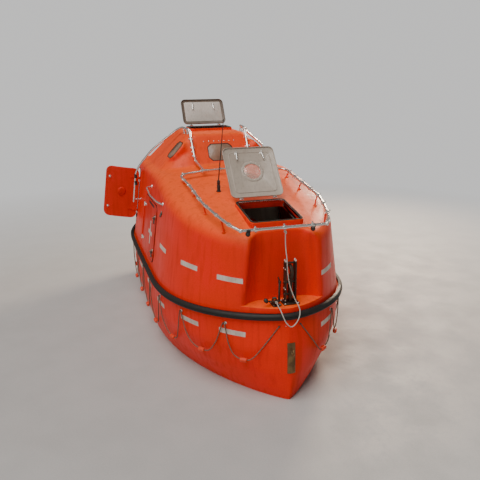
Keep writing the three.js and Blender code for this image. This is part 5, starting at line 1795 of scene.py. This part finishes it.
port_run = [Vector(p) for p in DECK_PIPE]
starboard_run = [flipped(p) for p in DECK_PIPE]
across = [flipped(TEE), Vector((TEE[0], 0, 2.084)), Vector(TEE)]
deck_line = bent_line(starboard_run + across + port_run[::-1], PIPE_BEND)
rail_line = [starboard_run[0], port_run[0]]
deck_parts = [tube(deck_line, PIPE_RADIUS, 20), tube(rail_line, PIPE_RADIUS, 20)]
deck_parts += [ball(p, 0.0215, 20) for p in rail_line]
pads = [deck_foot(x, y, side) for x, y in DECK_FEET for side in (1, -1)]
piece("deck_pipe_feet", merged(*pads), ORANGE, angle=40)
pipe = piece("deck_spray_pipe", merged(*deck_parts), STAINLESS, angle=40)
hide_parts("spray_pipe_deck")
nozzles = fittings_along(deck_line, 0.235, 0.16) + fittings_along(rail_line, 0.30, 0.15, 2.0)
piece("deck_spray_nozzles", merged(*nozzles), STAINLESS, angle=40)
feet = []
for spot in RAIL_RUBBERS:
    feet += [ball(spot, 0.025, 20), rod(spot + UP * 0.004, spot + Vector((0.005, 0, 0.03)), 0.017, 0.012),
             rod(spot + Vector((0.006, -0.02, 0.034)), spot + Vector((0.006, 0.02, 0.034)), 0.0192)]
piece("bow_rail_rubbers", merged(*feet), BLACK, angle=40)
print("deck pipe", round(run_length(deck_line), 2), "m, fittings", len(nozzles))

# %% [markdown]
# A pipe climbs the front of the wheelhouse on each side, crosses the roof's edge and comes down the side
# wall. It stands on feet that end in round plates. Only the front leg has fittings, and two black sleeves
# join the lower lengths.

# %% House pipes
HOUSE_PIPE = [TEE, (0.170, 0.377, 2.112), (0.020, 0.372, 2.150), (-0.215, 0.386, 2.500),
              (-0.330, 0.400, 2.502), (-0.600, 0.425, 2.502), (-0.730, 0.815, 2.190), (-0.820, 0.985, 1.960),
              (-0.860, 1.040, 1.850), (-0.880, 1.083, 1.430)]
FRONT_LEG = HOUSE_PIPE[:5]
FRONT_FOOT = (-0.04, 0.374, 2.24)
ROOF_FEET = [(-0.47, 0.413), (-0.33, 0.40)]


def leg(start, foot, out, radius, low=0.002, high=0.004):
    """A round bar with a plate where it meets the skin."""
    return [rod(start, foot, FOOT_RADIUS), rod(foot - out * low, foot + out * high, radius, sides=24)]


def house_pipe():
    outboard, tee, end = Vector((0, 1, 0)), Vector(TEE), Vector(HOUSE_PIPE[-1])
    parts = [tube(bent_line(HOUSE_PIPE, PIPE_BEND), PIPE_RADIUS, 20), ball(end, PIPE_RADIUS, 20),
             rod(tee - outboard * 0.045, tee + outboard * 0.045, 0.0192)]
    wall, _ = hit(canopy, end + Vector((0, 0.1, 0.03)), -outboard)
    parts += leg(end + UP * 0.03, wall, outboard, 0.024, 0.0, 0.005)
    for x, y in ROOF_FEET:
        roof = Vector((x, y - 0.02, deck_height(x, y - 0.02)))
        parts += leg((x, y, 2.5), roof, UP, 0.024)
    wall, out = hit(canopy, FRONT_FOOT, (-0.75, 0, -0.6))
    parts += leg(FRONT_FOOT, wall, out, 0.022)
    return merged(*parts)


def sleeve(z):
    return rod((-0.8605, 1.0406, z - 0.03), (-0.8630, 1.0470, z + 0.03), 0.0195)


for side, matrix in FROM_PORT.items():
    pipe = piece("house_spray_pipe_" + side, moved(house_pipe(), matrix), STAINLESS, angle=40)
    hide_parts("spray_pipe_house_" + side)
    nozzles = fittings_along(bent_line(FRONT_LEG, PIPE_BEND), 0.13, 0.45)
    piece("house_spray_nozzles_" + side, moved(merged(*nozzles), matrix), STAINLESS, angle=40)
    sleeves = merged(sleeve(1.80), sleeve(1.70))
    piece("house_pipe_sleeves_" + side, moved(sleeves, matrix), BLACK, angle=40)
print("house pipe fittings", len(nozzles), "a side")

# %% [markdown]
# ## Grab rails
# A bent bar over each fore door is a handhold. Its ends are found by a ray from the bar's last bend to the
# wall, so that they meet the wall exactly, and a round plate covers each of them.

# %% Grab rails
GRAB_RAIL = [(-0.050, 0.915, 1.800), (-0.028, 1.010, 1.788), (0.300, 1.012, 1.748), (0.620, 0.985, 1.735),
             (0.820, 0.950, 1.742), (0.820, 0.880, 1.742)]

for side, matrix in FROM_PORT.items():
    line = bent_line(GRAB_RAIL, 0.045)
    parts = [tube(line, 0.010, 16)]
    for first, second in ((1, 0), (-2, -1)):
        inward = Vector(GRAB_RAIL[second]) - Vector(GRAB_RAIL[first])
        spot, normal = hit(canopy, Vector(GRAB_RAIL[first]), inward)
        if spot:
            parts.append(rod(spot - normal * 0.002, spot + normal * 0.005, 0.024, 0.021, 24))
    rail = piece("grab_bar_" + side, moved(merged(*parts), matrix), STAINLESS, angle=40)
    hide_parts("grab_rail_" + side)
print("grab rails", 2)

# %% [markdown]
# ## Lifting hooks
# Two upright plates on a base hold a curved hook at each end of the boat, by which it is lifted. Such steel
# is cut from plate, so the hook's blade is a flat outline with curved stretches, raised to its thickness and
# bevelled. It is painted dark and has begun to rust in patches, streaks and specks.

# %% Lifting hooks
HOOK_X, HOOK_Y, HOOK_HALF, HOOK_HIGH = 2.345, 0.058, 0.052, 0.470
HOOK_FOOT = NICHE_FLOOR + 0.0004
CHEEK_BOLTS = [(x, z) for z in (0.03, 0.15, 0.36) for x in (-0.022, 0.022)]


def bezier(a, b, c, steps=8):
    """Points of a curve from a to c that is pulled towards b, without the first."""
    points = []
    for i in range(1, steps + 1):
        t = i / steps
        points.append(tuple(p * (1 - t) ** 2 + 2 * q * t * (1 - t) + r * t * t for p, q, r in zip(a, b, c)))
    return points


def hook_blade():
    side = [(-0.030, 0.0), (0.030, 0.0), (0.034, 0.250)]
    side += bezier(side[-1], (0.070, 0.300), (0.062, 0.350))
    side += bezier(side[-1], (0.040, 0.405), (-0.020, 0.400))
    side += [(-0.034, 0.380)]
    side += bezier(side[-1], (0.020, 0.372), (0.026, 0.335))
    side += bezier(side[-1], (0.020, 0.290), (-0.030, 0.280))
    return moved(prism(side, -0.015, 0.015), ON_EDGE)


def cheek(y):
    """A side plate with rounded corners."""
    side = rounded(-0.037, 0.0, 0.037, HOOK_HIGH - 0.035, 0.018, 5)
    return moved(prism(side, y - 0.006, y + 0.006), ON_EDGE)


def hook_parts():
    steel = [prism(rounded(-0.075, -0.085, 0.075, 0.085, 0.012, 4), 0.0, 0.010), hook_blade()]
    steel += [cheek(y) for y in (-HOOK_HALF, HOOK_HALF)]
    for z, over, radius in ((0.090, 0.016, 0.014), (0.220, 0.016, 0.014), (HOOK_HIGH - 0.050, 0.014, 0.011)):
        steel.append(rod((0, -HOOK_HALF - over, z), (0, HOOK_HALF + over, z), radius))
    bolts = []
    for y in (-HOOK_HALF, HOOK_HALF):
        out = Vector((0, 1 if y > 0 else -1, 0))
        for x, z in CHEEK_BOLTS:
            bolts.append(bolt(Vector((x, y, z)) + out * 0.006, out, 0.0075))
        bolts.append(rod((-0.012, y, HOOK_HIGH - 0.037), (-0.012, y, HOOK_HIGH - 0.012), 0.008, sides=6))
        bolts.append(rod((0.016, y, HOOK_HIGH - 0.037), (0.016, y, HOOK_HIGH - 0.018), 0.008, sides=6))
    for x in (-0.058, 0.058):
        for y in (-0.068, 0.068):
            bolts.append(bolt(Vector((x, y, 0.010)), UP, 0.009))
    return merged(*steel), merged(*bolts)


steel, bolts = hook_parts()
for label, matrix in (("fore", shift((HOOK_X, HOOK_Y, HOOK_FOOT))),
                      ("aft", FORE_AFT @ shift((HOOK_X, 0, HOOK_FOOT)))):
    frame_piece = piece("lifting_hook_" + label, moved(steel, matrix), DARK_STEEL, bevel=0.0018)
    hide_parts("hook_" + label)
    piece("lifting_hook_bolts_" + label, moved(bolts, matrix), STAINLESS, angle=40)
print("hooks", 2)

# %% [markdown]
# ## Line release
# Beside the fore hook sits the release of the towing line: two cheeks, a pin, a long lever, and a short arm
# with a black knob. Its many small parts are mostly rods, plates and straps, merged into one piece for each
# material.

# %% Line release
RELEASE_X, RELEASE_Y = 2.372, -0.108
ON_NICHE_FLOOR = shift((0, 0, HOOK_FOOT))
KNOB_FOOT = (2.395, -0.212, 0.066)


def release_steel():
    """Base, two cheeks with their pins, the short arm and the long lever."""
    base = prism(rounded(-0.055, -0.037, 0.055, 0.037, 0.01, 4), 0.0, 0.010)
    steel = [moved(base, shift((RELEASE_X, RELEASE_Y, 0)))]
    for y in (-0.130, -0.088):
        plate = moved(prism(rounded(-0.035, 0.0, 0.035, 0.052, 0.012, 4), -0.004, 0.004), ON_EDGE)
        steel.append(moved(plate, shift((RELEASE_X, y, 0.008))))
    arm = bent_line([(2.360, -0.150, 0.040), (2.372, -0.178, 0.047), KNOB_FOOT], 0.02)
    steel += [rod((2.388, -0.146, 0.044), (2.388, -0.072, 0.044), 0.009),
              rod((2.360, -0.072, 0.040), (2.360, -0.152, 0.040), 0.008), tube(arm, 0.0065),
              strap((2.352, -0.060, 0.020), (2.334, -0.048, 0.225), 0.016, 0.034),
              rod((2.334, -0.060, 0.222), (2.334, -0.036, 0.222), 0.017),
              rod((2.334, -0.048, 0.222), (2.330, -0.062, 0.275), 0.007)]
    return moved(merged(*steel), ON_NICHE_FLOOR)


def release_fittings():
    """Base bolts, a roller, the pin's spring, a catch and a cable end."""
    parts = [bolt(Vector((RELEASE_X + x, RELEASE_Y + y, 0.010)), UP, 0.006)
             for x in (-0.044, 0.044) for y in (-0.026, 0.026)]
    spring = []
    for i in range(40):
        a = 0.7 * i
        spring.append(Vector((2.394 + 0.011 * cos(a), -0.126 + 0.0009 * i, 0.044 + 0.011 * sin(a))))
    parts += [rod((2.350, -0.128, 0.064), (2.350, -0.090, 0.064), 0.014), tube(spring, 0.0024, 8),
              strap((2.352, -0.160, 0.030), (2.400, -0.168, 0.052), 0.006, 0.022),
              rod((2.398, -0.086, 0.016), (2.424, -0.062, 0.016), 0.009)]
    return moved(merged(*parts), ON_NICHE_FLOOR)


def release_knob():
    profile = [(0.007, -0.026), (0.017, -0.022), (0.0222, -0.004), (0.0215, 0.012), (0.014, 0.025),
               (0, 0.028)]
    return moved(turned(profile, 24), ON_NICHE_FLOOR @ along(KNOB_FOOT, (2.402, -0.226, 0.084)))


release = piece("line_release", release_steel(), DARK_STEEL, bevel=0.0015)
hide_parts("painter_release")
piece("line_release_bolts", release_fittings(), GREY_STEEL, angle=40)
piece("line_release_knob", release_knob(), BLACK, angle=50)
print("release faces", len(release.data.polygons))

# %% [markdown]
# ## Stem plate
# A bronze plate is wrapped round the stem with an eye for towing. A bent sheet that fits the hull everywhere
# is hard to draw, but easy to cut: a block is trimmed to a thin shell between two copies of the hull's own
# form.

# %% Stem plate
PLATE_LOW, PLATE_HIGH, PLATE_HALF = 0.320, 0.640, 0.042
EYE_CENTRE, EYE_RADIUS, EYE_THICK = Vector((2.596, 0, 0.560)), 0.030, 0.008
FORM_LEVELS = [KEEL, -0.2, 0.06, 0.25, 0.3, 0.36, 0.42, 0.48, 0.54, 0.6, 0.66, 0.72, GUNWALE]


def hull_form(inset):
    return strips([level_ring(z, inset) for z in FORM_LEVELS])


def eye_ring(centre, radius, thick, steps=40, sides=16):
    """A round ring that stands upright fore and aft."""
    rings = []
    for i in range(steps):
        turn = 2 * pi * i / steps
        out = Vector((cos(turn), 0, sin(turn)))
        angles = [2 * pi * k / sides for k in range(sides)]
        rings.append([centre + out * (radius + thick * cos(a)) + Vector((0, thick * sin(a), 0))
                      for a in angles])
    return strips(rings, closed=True)


plate_size = (0.4, 2 * PLATE_HALF, PLATE_HIGH - PLATE_LOW)
band = closed("stem_band", block(plate_size, (2.5, 0, (PLATE_LOW + PLATE_HIGH) / 2)))
combined(band, hull_form(-0.0085), "INTERSECT")
combined(band, hull_form(-0.0007), "DIFFERENCE")
bevelled(band, 0.0012)
dressed(band, BRONZE, angle=30)
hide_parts("stem_plate")
piece("towing_eye", eye_ring(EYE_CENTRE, EYE_RADIUS, EYE_THICK), BRONZE, angle=60)
plate_bolts = []
for z in (0.25, 0.31, 0.56, 0.60):
    for y in (-0.026, 0.026):
        spot, normal = hit(band, (3.2, y, z + 0.09), (-1, 0, 0))
        if spot:
            plate_bolts.append(bolt(spot, normal, 0.007))
piece("stem_plate_bolts", merged(*plate_bolts), BRONZE, angle=40)
print("stem plate bolts", len(plate_bolts))

# %% [markdown]
# ## Reflective tapes
# Short strips of retro-reflective tape make the boat show up in a searchlight. They are thin patches laid on
# the skin: each point of a small grid is dropped on the surface by a ray, so the strip follows every curve.

# %% Reflective tapes
TAPE_LONG, TAPE_WIDE, TAPE_STAND = 0.300, 0.052, 0.0012
CANOPY_TAPES = [(2.200, 1.245), (1.710, 1.265), (1.010, 1.265), (-1.980, 1.240)]
HULL_TAPES = [(2.250, 0.620), (1.780, 0.628), (1.070, 0.610), (0.320, 0.61), (-0.420, 0.61), (-1.150, 0.61),
              (-1.850, 0.620)]


def patch(target, x, z, long, wide, steps=18, upright=False):
    """A strip on the starboard side of a piece, centred at x and z."""
    middle, normal = hit(target, (x, -2.2, z), (0, 1, 0))
    level = UP.cross(normal).normalized()
    across = normal.cross(level)
    if upright:
        level, across = across, -level
    rows = []
    for lift in (TAPE_STAND, 0.0):
        for j in range(3):
            row = []
            for i in range(steps + 1):
                spot = middle + level * long * (i / steps - 0.5) + across * wide * (j / 2 - 0.5)
                on, out = hit(target, spot + normal * 0.15, -normal)
                row.append(on + out * (lift + 0.0002) if on else spot)
            rows.append(row)
    top, under = rows[:3], rows[3:]
    loops = []
    for i in range(steps + 1):
        loops.append([top[0][i], top[1][i], top[2][i], under[2][i], under[1][i], under[0][i]])
    return strips(loops)


strips_on = {"canopy": [patch(canopy, x, z, TAPE_LONG, TAPE_WIDE) for x, z in CANOPY_TAPES],
             "hull": [patch(hull, x, z + sheer(x, z), TAPE_LONG, TAPE_WIDE) for x, z in HULL_TAPES]}
for where, made in strips_on.items():
    for side, matrix in SIDES.items():
        piece(f"tapes_{where}_{side}", moved(merged(*made), matrix), TAPE, angle=60)
print("tapes", sum(len(made) for made in strips_on.values()), "a side")

# %% [markdown]
# The fore doors are marked with a cross of the same tape. A thin black sheet just under each door's head is a
# painted shadow, the dark gap under the head. A small grey bracket is bolted to the wall ahead of each.

# %% Door marks
CROSS_X, CROSS_Z = 0.180, 1.240
KEEPER_ENDS = [(0.836, 1.646), (0.758, 1.585)]

door_skin = bpy.data.objects["door_fore_starboard_skin"]
level_bar = patch(door_skin, CROSS_X, CROSS_Z, 0.26, 0.05)
upright_bar = patch(door_skin, CROSS_X, CROSS_Z, 0.30, 0.05, upright=True)
# Painted shadow: a thin black sheet on the door stands for the dark gap under its head.
head_shadow_sheet = patch(door_skin, 0.13, 1.598, 0.40, 0.032)
upper, lower = (hit(canopy, (x, -2.2, z), (0, 1, 0))[0] for x, z in KEEPER_ENDS)
out = Vector((0, -0.006, 0.001))
keeper = merged(strap(lower + out, upper + out, 0.012, 0.034), bolt(lower + 2 * out), bolt(upper + 2 * out))
for side, matrix in SIDES.items():
    door = "door_fore_" + side
    piece("door_cross_" + side, moved(merged(level_bar, upright_bar), matrix), TAPE, door, angle=60)
    piece("door_head_shadow_" + side, moved(head_shadow_sheet, matrix), RUBBER, door, angle=60)
    piece("door_keeper_" + side, moved(keeper, matrix), GREY_STEEL, bevel=0.001)
print("door marks", 3, "a side")

# %% [markdown]
# ## Aerial
# A whip aerial stands on a stout sprung base on the foredeck. The base is black plastic with a visible coil,
# the whip a thin rod that tapers and leans a little.

# %% Aerial
AERIAL_X, AERIAL_Y, AERIAL_HIGH, AERIAL_TOP, AERIAL_LEAN = 1.130, -0.345, 0.180, 2.745, 0.068
COIL_RADIUS, COIL_TURNS = 0.0175, 6
foot = Vector((AERIAL_X, AERIAL_Y, deck_height(AERIAL_X, AERIAL_Y)))
base_top = deck_edge(AERIAL_X) + AERIAL_HIGH
profile = [(0.0295, 0.0), (0.0295, 0.006), (0.023, 0.010), (0.0195, 0.024), (0.0155, 0.030), (0.0155, 0.040)]
collar_from = base_top - foot.z
profile += [(0.0155, collar_from - 0.05), (0.0188, collar_from - 0.046), (0.0188, collar_from - 0.010),
            (0.012, collar_from), (0, collar_from)]
base_shape = moved(turned(profile, 32), shift(foot))
coil = []
for i in range(121):
    a = 2 * pi * COIL_TURNS * i / 120
    height = 0.032 + (collar_from - 0.09) * i / 120
    coil.append(foot + Vector((COIL_RADIUS * cos(a), COIL_RADIUS * sin(a), height)))
holder = piece("aerial_holder", merged(base_shape, tube(coil, 0.0042, 8)), BLACK, angle=40)
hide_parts("aerial_base")
whip_foot = Vector((AERIAL_X, AERIAL_Y, base_top + 0.0012))
whip_tip = Vector((AERIAL_X, AERIAL_Y + AERIAL_LEAN, AERIAL_TOP))
whip_line = [whip_foot.lerp(whip_tip, i / 12) for i in range(13)]
whip_rings = [[p + c for c in circle(0.007 - 0.003 * i / 12, 12)] for i, p in enumerate(whip_line)]
whip_shape = merged(strips(whip_rings), ball(whip_line[-1] - UP * 0.006, 0.0055, 12))
whip = piece("aerial_rod", whip_shape, BLACK, angle=50)
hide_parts("aerial_whip")
print("aerial foot", tuple(round(v, 3) for v in foot))

# %% [markdown]
# ## The cabin
# Through an open hatch or door the helm seat shows: two vinyl cushions on a steel post. A cushion swells
# between its edges, so it is built from rings that draw in at the rim and rise towards the middle.

# %% Helm seat
SEAT_X, SEAT_Z = -0.930, 1.150
CABIN_FLOOR = -0.090 + 0.0004
EDGE = 0.014  # how wide a cushion's rounded rim is


def cushion(name, half_x, half_y, thick, radius, matrix):
    """A padded form: a rounded slab whose faces swell in the middle."""
    rings = []
    rim = [(0.0, EDGE), (0.004, 0.005), (EDGE, 0.0)]
    for z, inset in rim + [(thick - z, inset) for z, inset in reversed(rim)]:
        corners = rounded(inset - half_x, inset - half_y, half_x - inset, half_y - inset, radius - inset, 6)
        rings.append([Vector((x, y, z)) for x, y in corners])
    for share in (0.8, 0.5, 0.15):
        swell = thick + 0.012 * (1 - share * share) - 0.006
        corners = rounded(EDGE - half_x, EDGE - half_y, half_x - EDGE, half_y - EDGE, radius - EDGE, 6)
        rings.append([Vector((x * share, y * share, swell)) for x, y in corners])
    pad = piece(name, moved(strips(rings), matrix), VINYL, angle=50)
    return pad


level = shift((SEAT_X, 0, SEAT_Z + 0.004))
seat_pad = cushion("helm_cushion", 0.208, 0.213, 0.074, 0.06, level)
upright = shift((SEAT_X - 0.230, 0, SEAT_Z + 0.240)) @ Matrix.Rotation(radians(90), 4, "Y")
cushion("helm_backrest", 0.178, 0.213, 0.052, 0.06, upright)
post_parts = [block((0.328, 0.328, 0.012), (SEAT_X, 0, CABIN_FLOOR + 0.007)),
              rod((SEAT_X, 0, CABIN_FLOOR + 0.01), (SEAT_X, 0, SEAT_Z - 0.02), 0.044, sides=32),
              block((0.30, 0.30, 0.02), (SEAT_X, 0, SEAT_Z - 0.008)),
              strap((SEAT_X - 0.12, 0, SEAT_Z + 0.02), (SEAT_X - 0.205, 0, SEAT_Z + 0.16), 0.06, 0.012)]
post = piece("helm_seat_post", merged(*post_parts), STAINLESS, bevel=0.002)
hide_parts("helm_seat")
print("helm seat at", SEAT_X, SEAT_Z)

# %% [markdown]
# The engine is under a box with a lid and vents, which takes its size from the CAD block. The parts that are
# right as they are, such as the moulded benches and the propeller, keep their CAD mesh and only get a
# finish.

# %% Engine and kept parts
def engine_box():
    low, high = (Vector(corner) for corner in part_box("engine"))
    size, centre = high - low, (low + high) / 2
    body = block((size[0] - 0.004, size[1] - 0.004, size[2] * 0.8), centre - UP * size[2] * 0.1)
    lid = block((size[0], size[1], size[2] * 0.17), centre + UP * size[2] * 0.413)
    vents = [block((size[0] * 0.6, 0.008, 0.012), (centre.x, side * (size[1] / 2 - 0.004), centre.z + dz))
             for side in (1, -1) for dz in (-0.08, -0.05, -0.02, 0.01)]
    return merged(body, lid, *vents)


engine_cover = piece("engine_box", engine_box(), ENGINE, bevel=0.010, segments=3)
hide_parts("engine")
KEPT = {"inner_liner": LINER, "helm_console": LINER, "propeller_shaft": STAINLESS, "propeller": BRONZE,
        "steering_nozzle": ORANGE}
for name, material in KEPT.items():
    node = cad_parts[name]
    for slot in node.material_slots:
        slot.material = material
print("kept nodes", list(KEPT))

# %% [markdown]
# ## Size and finish
# The box of the CAD and the box of the dressed boat are written side by side. They should agree closely,
# since the picture's boat must be the same size as the part.

for helper in (outer_form, seat_form, back_form):
    bpy.data.objects.remove(helper)
low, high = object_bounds()
sizes = {"cad": [list(cad_low), list(cad_high)], "visual": [list(low), list(high)]}
print("sizes", sizes)
